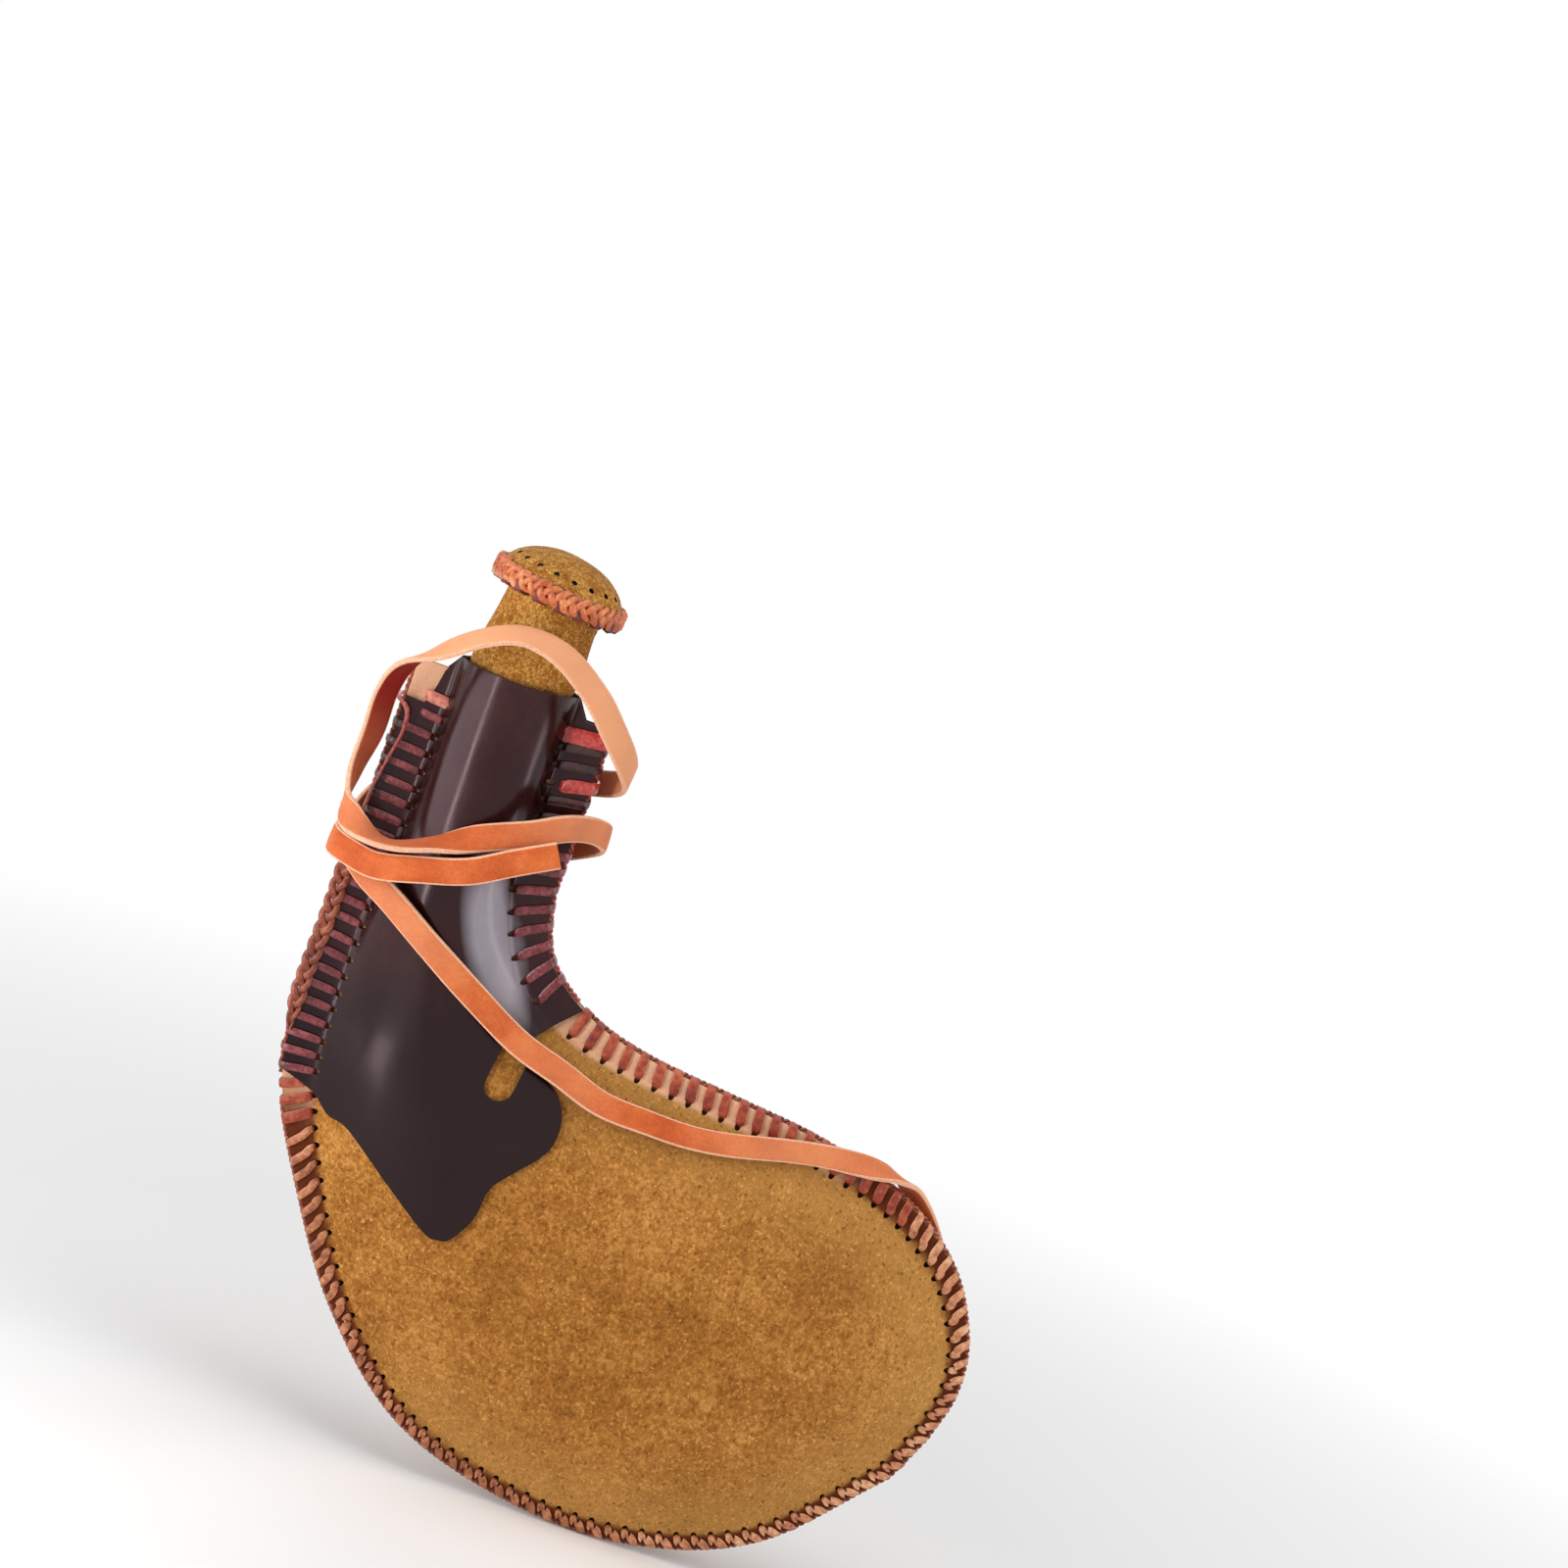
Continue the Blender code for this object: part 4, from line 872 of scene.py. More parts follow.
SEAMS = {
    "right": seam_of((1, NECK_LACE_TOP_Z), (1, RIGHT_LACE_FOOT_Z), SLEEVED_STACK, 2.3 * MM, 3.0 * MM),
    "rim": seam_of((1, RIM_LACE_HEAD_Z), (-1, RIM_LACE_TAIL_Z), SKIN_STACK, 1.2 * MM, 3.4 * MM),
    "left": seam_of((-1, LEFT_LACE_FOOT_Z), (-1, NECK_LACE_TOP_Z), SLEEVED_STACK, -1.0 * MM, 2.6 * MM),
}

# Lace holes: half their size inward and along the edge, how far past the stitch's reach their middles
# are, and how far along the edge the back's holes are from the front's
HOLE_INWARD = 1.5 * MM
HOLE_ALONG = 1.0 * MM
HOLE_FURTHER = 0.2 * MM
BACK_SHIFT = LACE_PITCH / 2


def stitches(seam):
    """The places of a seam's stitches along the outline."""
    first, last = SEAMS[seam][:2]
    count = int((last - first) / LACE_PITCH) + 1
    if seam == "rim":
        count += EXTRA_RIM_STITCHES
    return [first + k * LACE_PITCH for k in range(count)]


def hole_outlines(seam, side):
    """The outlines of a seam's lace holes in the front's (-1) or the back's (1) face."""
    shift = 0 if side < 0 else BACK_SHIFT
    outlines = []
    for spot in map(on_outline, stitches(seam)):
        middle = spot.edge + spot.inward * (hole_reach(spot) + HOLE_FURTHER) + spot.run * shift
        ring = []
        for a in around(12):
            p = middle + spot.inward * (HOLE_INWARD * math.cos(a)) + spot.run * (HOLE_ALONG * math.sin(a))
            ring.append((p.x, p.z))
        outlines.append(ring)
    return outlines


# Panels and sleeves

SIDES = {"front": -1, "back": 1}

# How deep the cutters reach, where those of the flange start, and from which angle cut edges are sharp
PANEL_CUT = 12 * MM
FLANGE_CUT = 9 * MM
CUT_START = 1 * MM
SLEEVE_CUT = SLEEVE_R * 2
CARVED_SHARP = 42

# The rim's tints: how far in the painted light reaches, and from where to the right it shows; the height from
# which the rim is cream and the place where that ends; and how soon the cream and the painted shade are full
# under the lace
PAINTED_LIGHT_REACH = 19 * MM
PAINTED_LIGHT_FROM_X = 20 * MM
PAINTED_LIGHT_RUN = 40 * MM
CREAM_FROM_Z = -5 * MM
CREAM_RISE = 15 * MM
CREAM_END_X = 156 * MM
CREAM_RUN = 20 * MM
UNDER_LACE_RUN = 1.2 * MM

# The mouth's corners: the sleeve's outer face, the end of its flange and the height of its shoulder, and how
# far inside that the suede is cut: beside the top, beside the slope and below. SLOPE_START is how far below
# the mouth its own slope starts.
OUTER_R = SLEEVE_R + SLEEVE_LEATHER
FLANGE_END_X = SKIN_R + NECK_FLANGE + SLEEVE_OVERRUN
SHOULDER_Z = MOUTH_Z - FLANGE_SHOULDER
SUEDE_IN = 0.4 * MM
SUEDE_SLOPE_IN = 0.6 * MM
SUEDE_DOWN = 0.5 * MM
SLOPE_START = 1 * MM

# The suede tab over the front sleeve's left corner: its foot, and the cut line beside it
TAB_FOOT_Z = 135.3 * MM
TAB_SIDE = [
    (-26.0 * MM, 134.3 * MM), (-24.6 * MM, 136.6 * MM), (-22.9 * MM, 146.0 * MM), (-20.5 * MM, 150.6 * MM),
]


def build_panels():
    """The two suede panels, each with its rim holes."""
    for face, side in SIDES.items():
        mesh = shell_mesh("suede_" + face, layer(side, PANEL_TOP_Z, SUEDE), layer(side, PANEL_TOP_Z, 0.0))
        node = f"body_{face}_panel"
        piece = add_piece("suede_" + face, mesh, ["suede", "suede_edge"], "bag", "suede", node)
        # The holes' walls get the near-black finish: painted shade
        cut(piece, hole_outlines("rim", side), 0, side * PANEL_CUT, "hole_wall")
        cut(piece, shoulder_outlines(), -side * CUT_START, side * FLANGE_CUT, "suede_edge")
        smooth(piece.data, CARVED_SHARP)
        tint_rim(piece.data)


def tint_rim(mesh):
    """Marks where the suede has painted light, painted shade and cream along its rim."""
    places = np.empty(3 * len(mesh.vertices))
    mesh.vertices.foreach_get("co", places)
    x, z = places[0::3], places[2::3]
    inside = past_flange(np.stack([x, z], axis=1))
    upper = np.clip((z - CREAM_FROM_Z) / CREAM_RISE, 0, 1) * np.clip((CREAM_END_X - x) / CREAM_RUN, 0, 1)
    rightward = np.clip((x - PAINTED_LIGHT_FROM_X) / PAINTED_LIGHT_RUN, 0, 1)
    under_lace = np.clip(-inside / UNDER_LACE_RUN, 0, 1)
    # Painted light towards the rim on the right
    add_values(mesh, "rim_painted_light", np.exp(-((np.maximum(inside, 0) / PAINTED_LIGHT_REACH) ** 2)) * rightward)
    # Painted shade under and between the lace, where the rim is not cream
    add_values(mesh, "rim_painted_shade", under_lace * (1 - upper))
    add_values(mesh, "rim_cream", under_lace * upper)


def shoulder_outlines():
    """What is cut off the suede's flange at the mouth, so that the sleeve covers its corners."""
    near, high = OUTER_R - SUEDE_IN, MOUTH_Z + SLEEVE_OVERRUN
    outlines = []
    for side, low in ((1, SHOULDER_Z - SUEDE_DOWN), (-1, PANEL_TOP_Z)):
        slope_foot = OUTER_R + FLANGE_SHOULDER - SUEDE_SLOPE_IN
        slope = [(near, high), (near, MOUTH_Z - SLOPE_START), (slope_foot, low)]
        corner = [*slope, (FLANGE_END_X, low), (FLANGE_END_X, high)]
        outlines.append([(side * x, z) for x, z in corner[::side]])
    return outlines


def sleeve_outline(side):
    """The sleeve's cut shape: a straight top with dropped flange corners, and the lobed flap below.

    The front sleeve's left corner is cut lower, so that a tab of the suede shows above it.
    """
    flap = [(x * FLAP_REACH, z * (SLEEVE_FOOT_Z if z >= 0 else FLAP_DROP)) for x, z in FLAP_SHARES]
    seam = on_outline(along_outline(1, SLEEVE_FOOT_Z)).edge
    left_corner = [(-FLANGE_END_X, SHOULDER_Z), (-OUTER_R - FLANGE_SHOULDER, SHOULDER_Z)]
    if side < 0:
        left_corner = [(-FLANGE_END_X, TAB_FOOT_Z), *TAB_SIDE]
    return [
        (OUTER_R + GAP, MOUTH_Z + SLEEVE_TOP),
        (OUTER_R + FLANGE_SHOULDER, SHOULDER_Z),
        (FLANGE_END_X, SHOULDER_Z),
        (FLANGE_END_X, NECK_FOOT_Z),
        (seam.x + SLEEVE_OVERRUN, seam.z + SLEEVE_OVERRUN),
        *(tuple(p) for p in catmull_rom(flap, 8)),
        (-FLANGE_END_X, flap[-1][1]),
        *left_corner,
        (-OUTER_R - GAP, MOUTH_Z + SLEEVE_TOP),
    ]


def slot_outline():
    """The oblong slot in the flap: two half circles on a leaning line."""
    half = (SLOT_LENGTH - SLOT_WIDTH) / 2
    points = []
    for turn, shift in ((0, half), (math.pi, -half)):
        for k in range(13):
            angle = turn + math.pi * k / 12
            u = SLOT_WIDTH / 2 * math.cos(angle)
            v = SLOT_WIDTH / 2 * math.sin(angle) + shift
            x = SLOT_X + u * math.cos(SLOT_LEAN) + v * math.sin(SLOT_LEAN)
            points.append((x, SLOT_Z - u * math.sin(SLOT_LEAN) + v * math.cos(SLOT_LEAN)))
    return points


def build_sleeves():
    """The neck's smooth leather sleeve, front and back, with the slotted flap and the lace holes."""
    rows = NECK_ROWS + 5 * ROWS_PER_SPAN
    for face, side in SIDES.items():
        inner = layer(side, MOUTH_Z + SLEEVE_OVERRUN, SUEDE + GAP, rows)
        outer = layer(side, MOUTH_Z + SLEEVE_OVERRUN, SUEDE + GAP + SLEEVE_LEATHER, rows)
        mesh = shell_mesh("sleeve_" + face, outer, inner)
        node = "neck_sleeve_" + face
        piece = add_piece("sleeve_" + face, mesh, ["sleeve", "sleeve_edge"], "bag", "smooth_leather", node)
        cut(piece, [sleeve_outline(side)], 0, side * SLEEVE_CUT, "sleeve_edge", "INTERSECT")
        if side < 0:
            cut(piece, [slot_outline()], 0, side * SLEEVE_CUT, "sleeve_edge")
        for seam in ("right", "left"):
            # The holes' walls get the near-black finish: painted shade
            cut(piece, hole_outlines(seam, side), side * CUT_START, side * FLANGE_CUT, "hole_wall")
        smooth(piece.data, CARVED_SHARP)


# Lacing

# A stitch's thickness, how far it stands over the leather and past its edge, and how much it is crowned
LACE_THICKNESS = 0.95 * MM
LACE_RISE = 0.42 * MM
LACE_OUT = 1.0 * MM
LACE_CROWN = 0.35 * MM

# The rim: how much its slanting stitches lean and narrow, how much closer all its stitches and the
# slanting ones lie, where the slant starts, and the height below which all of them slant
RIM_SLANT = 2.6 * MM
RIM_NARROWER = 0.22
RIM_CLOSER = 0.3 * MM
SLANT_CLOSER = 0.25 * MM
SLANT_FROM_X = 160 * MM
SLANT_RUN = 24 * MM
UPPER_RIM_Z = -10 * MM

# The places of the finishes in the neck's lists and in the rim's, and how far along the rim bark reaches
PLAIN, RED, BLACK, PINK = 0, 2, 3, 4
TAN, BARK = 2, 3
BARK_TO_X = 110 * MM

# The left seam's upper stitches: from which height their outer parts are black as painted shade, and how far
# from its hole each one keeps its colour
SHADED_BARS_Z = 95 * MM
UNSHADED_REACH = 7.6 * MM

# The twist of thin strands along each edge, which starts and ends past the stitches
TWIST_PAST = 2 * MM
TWIST_R = 0.5 * MM
TWIST_OUT = 0.45 * MM
TWIST_STEP = 0.7 * MM
TWIST_WAVE = 4.2 * MM

# The braid at the neck's left edge
BRAID_FOOT_Z = 22 * MM
BRAID_HEAD_Z = 94 * MM
BRAID_WAVE = 15 * MM
BRAID_OUT = 0.5 * MM
BRAID_SWING = 1.9 * MM
BRAID_LIFT = 4.4 * MM
BRAID_WEAVE = 0.6 * MM
BRAID_STRAND = 2.3 * MM
BRAID_THICKNESS = 1.5 * MM

# The loose end's width and thickness
TAIL_WIDTH = 1.9 * MM
TAIL_THICKNESS = 0.9 * MM


def thong(path, across, widths, thickness, bulge=0.75):
    """A flat lace along a path: its vertices, faces and a mark for its cut edges."""
    path = [Vector(p) for p in path]
    section = []
    for a in around(10):
        c, s = math.cos(a + math.pi / 10), math.sin(a + math.pi / 10)
        section.append((math.copysign(abs(c) ** 0.55, c), math.copysign(abs(s) ** bulge, s)))
    verts = []
    for point, before, after, flat, width in zip(path, path[:1] + path, path[1:] + path[-1:], across, widths):
        along = (after - before).normalized()
        side = (flat - along * flat.dot(along)).normalized()
        up = along.cross(side)
        verts += [point + side * (u * width / 2) + up * (v * thickness / 2) for u, v in section]
    return verts, *tube(verts, len(section), (4, 9), 0)


def joined(parts):
    """Several lots of vertices, faces and marks as one."""
    verts, faces, marks = [], [], []
    for part_verts, part_faces, part_marks in parts:
        base = len(verts)
        verts += part_verts
        faces += [tuple(base + i for i in face) for face in part_faces]
        marks += part_marks
    return verts, faces, marks


def add_strands(name, strands, looks, body, slot, *nodes):
    """A piece of joined laces. Its second look, where it has one, is that of their cut edges."""
    verts, faces, marks = joined(strands)
    mesh = mesh_of(name, verts, faces, marks if len(looks) > 1 else None)
    return add_piece(name, mesh, looks, body, slot, *nodes)


def rim_slant(edge):
    """1 where the rim's stitches slant, round the body's far end and foot, and 0 along its upper edge."""
    return float(np.clip((edge.x - SLANT_FROM_X) / SLANT_RUN, 0, 1) if edge.z > UPPER_RIM_Z else 1)


def stitch(s, seam, size=1.0, out=0.0, further=0.0, down=0.0, staple=0.0):
    """One stitch over the edge, from its front hole to its back one, and how far from its hole each face is.

    It may start further in than its hole. A staple is a stitch of that length on the front face alone.
    """
    stack, lean, width = SEAMS[seam][2:]
    spot = on_outline(s + down)
    reach = hole_reach(spot) + further
    rise = stack + LACE_RISE
    crown = LACE_CROWN * size
    out += LACE_OUT
    if seam == "rim":
        slant = rim_slant(spot.edge)
        lean += RIM_SLANT * slant
        width *= 1 - RIM_NARROWER * slant
        out -= RIM_CLOSER + SLANT_CLOSER * slant

    # Stops of the front half: how far in, how far off the seam's plane, share of the lean, share of the width
    front = [
        (reach - 0.1 * MM, stack - 1.2 * MM, 0.0, 0.6),
        (reach - 0.25 * MM, stack - 0.3 * MM, 0.0, 0.7),
        (reach - 0.8 * MM, rise + 0.1 * MM, 0.06, 0.85),
        (reach - 1.9 * MM, rise + crown * 0.7, 0.18, 0.97),
    ]
    if staple:
        foot = reach - staple
        front += [
            (foot + 1.9 * MM, rise + crown * 0.7, 0.6, 1.0),
            (foot + 0.7 * MM, rise, 0.75, 0.92),
            (foot + 0.1 * MM, stack - 0.3 * MM, 0.8, 0.8),
            (foot, stack - 1.2 * MM, 0.8, 0.7),
        ]
    else:
        front += [
            (reach * 0.55, rise + crown, 0.5, 1.0),
            (0.9 * MM, rise + crown * 0.6, 0.85, 0.98),
            (-out * 0.45, rise * 0.86, 1.0, 0.92),
            (-out, stack * 0.45, 1.08, 0.88),
        ]
    profile = [(a, -y, -lean * t, w) for a, y, t, w in front]
    if not staple:
        profile.append((-out * 1.08, 0.0, -lean * 1.15, 0.86))
        for a, y, t, w in front[::-1]:
            share = min(max(1 - t, 0), 1)
            profile.append((a, y, -lean * 1.15 * (1 - share) + BACK_SHIFT * share, w))
    profile = catmull_rom(profile, 3)

    path = [spot.edge + spot.inward * a + spot.run * r + Vector((0, y, 0)) for a, y, r, w in profile]
    widths = [w * width * size for w in profile[:, 3]]
    verts, faces, marks = thong(path, [spot.run] * len(path), widths, LACE_THICKNESS * min(size, 1.6))
    ring = len(verts) // len(path)
    from_hole = [reach - profile[min(k // ring, len(profile) - 1)][0] for k in range(len(faces))]
    return verts, faces, marks, from_hole


def edge_strands(ends, wave, count, lie, width, thickness, bulge, taper=1):
    """Strands that wave along the leather's edge, each by its share of the wave ahead of the one before.

    lie gives how far out and how far back a strand is from its angle in the wave and its share of the full
    width, which starts at taper.
    """
    first, last = ends
    steps = int((last - first) / TWIST_STEP)
    strands = []
    for strand in range(count):
        path, across, widths = [], [], []
        for k in range(steps + 1):
            s = first + (last - first) * k / steps
            spot = on_outline(s)
            share = min(1, taper + 5 * min(k, steps - k) / steps)
            out, back = lie(2 * math.pi * ((s - first) / wave + strand / count), share)
            path.append(spot.edge - spot.inward * out + Vector((0, back, 0)))
            across.append(spot.inward)
            widths.append(width * share)
        strands.append(thong(path, across, widths, thickness, bulge))
    return strands


def twist_lie(a, share):
    """Where a strand of the twist lies."""
    return TWIST_OUT + share * TWIST_R * math.cos(a), share * 1.6 * TWIST_R * math.sin(a)


def braid_lie(a, share):
    """Where a strand of the edge's braid lies."""
    return BRAID_OUT + share * BRAID_SWING * math.sin(a), -BRAID_LIFT - BRAID_WEAVE * math.sin(2 * a)


def rim_mark(edge):
    """The place in the rim's list of the finish that its stitches have here."""
    if rim_slant(edge) < 0.7:
        return PLAIN
    return BARK if edge.x < BARK_TO_X else TAN


def stitch_look(seam, k, count):
    """How a stitch differs from the plain ones: its finish's place in the seam's list, and its shape."""
    if seam == "right" and k == 0:
        return RED, {"size": 1.75, "out": 0.9 * MM, "further": 5.4 * MM, "down": 2.2 * MM}
    if seam == "right" and k == 3:
        return RED, {"size": 1.5, "out": 0.7 * MM, "further": -3.0 * MM}
    if seam == "right" and k < 7:
        return BLACK, {}
    if seam == "left" and k == count - 1:
        return PINK, {"size": 1.45, "further": 2.4 * MM, "staple": 8.4 * MM}
    if seam == "left" and k == count - 2:
        return PLAIN, {"further": 1.4 * MM, "staple": 7.4 * MM}
    return PLAIN, {}


def build_lacing():
    """The seams' whip lacing, the twisted run along each edge, and the braid at the neck's foot."""
    neck = ["neck_lace", "lace_edge", "red_lace", "black_lace", "salmon_lace"]
    rim = ["rim_lace", "rim_lace_edge", "tan_lace", "bark_lace"]
    for seam, node, slot, looks, twist_look in (
        ("right", "neck_lace_right", "neck_lace", neck, "pink_lace"),
        ("left", "neck_lace_left", "neck_lace", neck, "rust_lace"),
        ("rim", "rim_lace", "rim_lace", rim, "rust_lace"),
    ):
        parts = []
        places = stitches(seam)
        for k, s in enumerate(places):
            look, shape = stitch_look(seam, k, len(places))
            shape["size"] = shape.get("size", 1.0) * (1 + RANDOM.normal(0, 0.04))
            shape["out"] = shape.get("out", 0.0) + abs(RANDOM.normal(0, 0.12)) * MM
            wander = RANDOM.normal(0, 0.15) * MM
            verts, faces, marks, from_hole = stitch(s + wander, seam, **shape)
            edge = on_outline(s).edge
            if seam == "rim":
                marks = [rim_mark(edge) if mark == PLAIN else mark for mark in marks]
            elif look != PLAIN:
                marks = [look] * len(marks)
            # Painted shade: the upper left stitches turn black past a length from their holes
            elif seam == "left" and edge.z > SHADED_BARS_Z:
                marks = [BLACK if far > UNSHADED_REACH else mark for mark, far in zip(marks, from_hole)]
            parts.append((verts, faces, marks))
        add_strands("lacing_" + seam, parts, looks, "bag", slot, node)
        first, last = SEAMS[seam][:2]
        ends = (first - TWIST_PAST, last + TWIST_PAST)
        twist = edge_strands(ends, TWIST_WAVE, 2, twist_lie, 2 * TWIST_R, 2 * TWIST_R, 1.0)
        add_strands("edge_twist_" + seam, twist, [twist_look], "bag", slot)
    ends = (along_outline(-1, BRAID_FOOT_Z), along_outline(-1, BRAID_HEAD_Z))
    braid = edge_strands(ends, BRAID_WAVE, 3, braid_lie, BRAID_STRAND, BRAID_THICKNESS, 0.9, 0.3)
    add_strands("edge_braid", braid, ["rust_lace", "rust_lace"], "bag", "neck_lace")


def build_lace_end():
    """The left lace's loose end, a thin pink thong with a slow twist."""
    points = catmull_rom([[c * MM for c in stop] for stop in TAIL_ROUTE], 8)
    count = len(points)
    turns = [0.5 + 1.3 * k / count for k in range(count)]
    across = [Vector((math.cos(a), math.sin(a) * 0.6, 0.1)) for a in turns]
    widths = [TAIL_WIDTH * min(1, 0.35 + (count - 1 - k) / 6) for k in range(count)]
    end = thong(points, across, widths, TAIL_THICKNESS)
    add_strands("lace_end", [end], ["pink_lace", "lace_edge"], "bag", "neck_lace", "lace_tail")


# Strap

# Half of its section, in half widths and half thicknesses, and the numbers of the section's edge faces
HALF_SECTION = [
    (-1, -0.55), (-0.88, -0.92), (-0.6, -1), (-0.2, -1.04),
    (0.2, -1.04), (0.6, -1), (0.88, -0.92), (1, -0.55),
]
STRAP_EDGES = (0, 6, 7, 8, 14, 15)
STRAP_STEP = 2 * MM

# How much its width ripples, and how far it lifts and how far its edges curl back
STRAP_RIPPLE = 0.025
STRAP_LIFT = 0.12 * MM
STRAP_CURL = 0.10 * MM


def ripple(s, size, seed):
    """A smooth random value along the strap, with lumps of the given size."""
    return noise.noise(Vector((s / size, seed, 0)))


def within(s, middle, reach):
    """1 in the middle of a stretch, fading to 0 past its reach."""
    return math.exp(-(((s - middle) / reach) ** 4))


def build_strap():
    """The flat carrying strap: crowned faces, paler cut edges, and a square-cut end."""
    route = [(*(c * MM for c in stop[:3]), *stop[3:]) for stop in STRAP_ROUTE]
    fine = catmull_rom(route, 12)
    at = distances(fine[:, :3])
    count = int(at[-1] / STRAP_STEP)
    frames = even_steps(fine, at, count)
    section = HALF_SECTION + [(-u, -v) for u, v in HALF_SECTION]
    verts, rubbed, flesh_side_and_shade = [], [], []
    for k, stop in enumerate(frames):
        before, after = frames[max(k - 1, 0)], frames[min(k + 1, count)]
        along = Vector(after[:3] - before[:3]).normalized()
        face = Vector(stop[3:])
        face = (face - along * face.dot(along)).normalized()
        across = along.cross(face)
        s = at[-1] * k / count
        half_w = STRAP_DRAWN_WIDTH / 2 * (1 + STRAP_RIPPLE * ripple(s, 18 * MM, 0.3))
        half_w *= 1 - NARROWER * within(s, *NARROW_STRETCH)
        half_t = STRAP_THICKNESS / 2 * 0.96
        lift = STRAP_LIFT * ripple(s, 11 * MM, 5.3)
        pale = 0.12 + 0.5 * ripple(s, 50 * MM, 2.2) + within(s, *RUBBED_STRETCH)
        # Flesh side: a light red tint all along, and full painted shade inside the loop
        deep = 0.25 + 0.75 * within(s, *PAINTED_SHADE_STRETCH)
        for u, v in section:
            off = v * half_t + lift - STRAP_CURL * u**2
            verts.append(Vector(stop[:3]) + across * (u * half_w) + face * off)
            rubbed.append(min(max(pale, 0), 1))
            flesh_side_and_shade.append(deep if v < -0.8 else 0.0)
    mesh = mesh_of("carry_strap", verts, *tube(verts, len(section), STRAP_EDGES, 1), 35)
    add_values(mesh, "rubbed", rubbed)
    add_values(mesh, "flesh_side_and_shade", flesh_side_and_shade)
    strap = add_piece("carry_strap", mesh, ["strap", "strap_edge"], "bag", "strap", "strap")


# Stopper and cap

# The cover's turned line in millimetres, as (radius, height): its shaped part, and what is in the neck
COVER_STOPS = [
    (15.3, 178.0), (15.5, 174.0), (16.1, 168.0), (17.0, 162.0), (17.3, 157.0), (17.25, 153.5),
    (16.8, 151.5), (15.6, 150.5), (14.55, 150.2), (14.45, 148.5),
]
COVER_PLUG = [(14.4, 140), (14.2, 130), (13.9, 117.2), (13.2, 116.1)]

# The cover's overlapped edge, how far it and the folds stand out, and how far in its face is set
LAP_AT = -0.6
LAP_RISE = 0.45 * MM
FOLD_RISE = 0.24 * MM
FOLD_HEIGHT = 12 * MM
FACE_IN = 0.1 * MM

# The cap: its hollows, its holes' place on the arc, the faces below the suede of a near-black sheet that is
# painted shade in the holes, and the disc's hole
HOLLOW_SIZE = 12 * MM
HOLLOW_DEPTH = 0.35 * MM
CAP_HOLE_SHARE = 0.36
SHADE_SHEET_OUTER = 0.15 * MM
SHADE_SHEET_INNER = 0.45 * MM
DISC_HOLE_R = CAP_R - 7 * MM
CAP_SEAT = (
    Matrix.Translation((COVER_LEAN, 0, WASHER_TOP_Z))
    @ Matrix.Rotation(CAP_TILT, 4, "Y")
    @ Matrix.Translation((0, 0, -WASHER_TOP_Z))
)

# The cap's lace: its strands' width and thickness, the braid, and how high the under-stitches stand
CAP_LACE = 2.15 * MM
CAP_LACE_THICKNESS = 1.6 * MM
CAP_BRAID_TURNS = 12
CAP_BRAID_MIDDLE_Z = 181.3 * MM
CAP_BRAID_SWING = 2.3 * MM
CAP_BRAID_WEAVE = 0.55 * MM
CAP_BRAID_OUT = 0.55 * MM
CAP_EDGE_BEND = 9 * MM
UNDER_LIFT = 0.3 * MM
UNDER_THICKNESS = 1.1 * MM


def round_axis(r, a, z):
    """A point at a radius, an angle and a height."""
    return Vector((r * math.cos(a), r * math.sin(a), z))


def turned(outer, inner, steps=96):
    """A turned shell between two profiles of (radius, z), joined at their first stops.

    The vertices of the outer one come first.
    """
    verts = [(r * math.cos(a), r * math.sin(a), z) for r, z in [*outer, *inner] for a in around(steps)]
    base = len(outer)
    rings = [(i, i + 1) for i in range(base - 1)]
    rings += [(base + i + 1, base + i) for i in range(len(inner) - 1)]
    rings.append((base, 0))
    if outer[-1][0] and inner[-1][0]:
        rings.append((base - 1, base + len(inner) - 1))
    return verts, [face for a, b in rings for face in band(a, b, steps)]


def add_turned(name, verts, faces, finish, *nodes):
    """A turned piece of the stopper, whose points that fall together on its axis are welded."""
    mesh = mesh_of(name, verts, faces, mends=(weld, drop_slivers))
    return add_piece(name, mesh, [finish], "stopper", "stopper_suede", *nodes)


def cover_point(x, y, z, outside):
    """A point of the stopper's cover, moved by its lean under the cap and the folds of its suede."""
    share = min(max((z - MOUTH_Z) / (COVER_TOP_Z - MOUTH_Z), 0), 1)
    if outside and share > 0:
        a, r = math.atan2(y, x), math.hypot(x, y)
        lap = LAP_RISE * math.exp(-(((a - LAP_AT - 1.2 * (share - 0.5)) / 0.05) ** 2))
        fold = FOLD_RISE * noise.noise(round_axis(1.6, a, z / FOLD_HEIGHT))
        push = (r + lap + fold - FACE_IN) / r
        x, y = x * push + share * COVER_LEAN, y * push
    return x, y, z - share * x * math.tan(CAP_TILT)


def build_stopper_cover():
    """The stopper's suede cover: it flares to the mouth, and goes down narrower inside it."""
    outer = [(r * MM, z * MM) for r, z in [*catmull_rom(COVER_STOPS, 4), *COVER_PLUG]]
    outer.append((0, COVER_FOOT_Z))
    inner = [(COVER_HOLLOW_R, z) for z in np.linspace(COVER_TOP_Z, COVER_FOOT_Z + COVER_SUEDE, 12)]
    inner.append((0, COVER_FOOT_Z + COVER_SUEDE))
    verts, faces = turned(outer, inner)
    outside = len(verts) * len(outer) // (len(outer) + len(inner))
    verts = [cover_point(*vert, k < outside) for k, vert in enumerate(verts)]
    add_turned("stopper_suede", verts, faces, "stopper_suede", "stopper_cover")


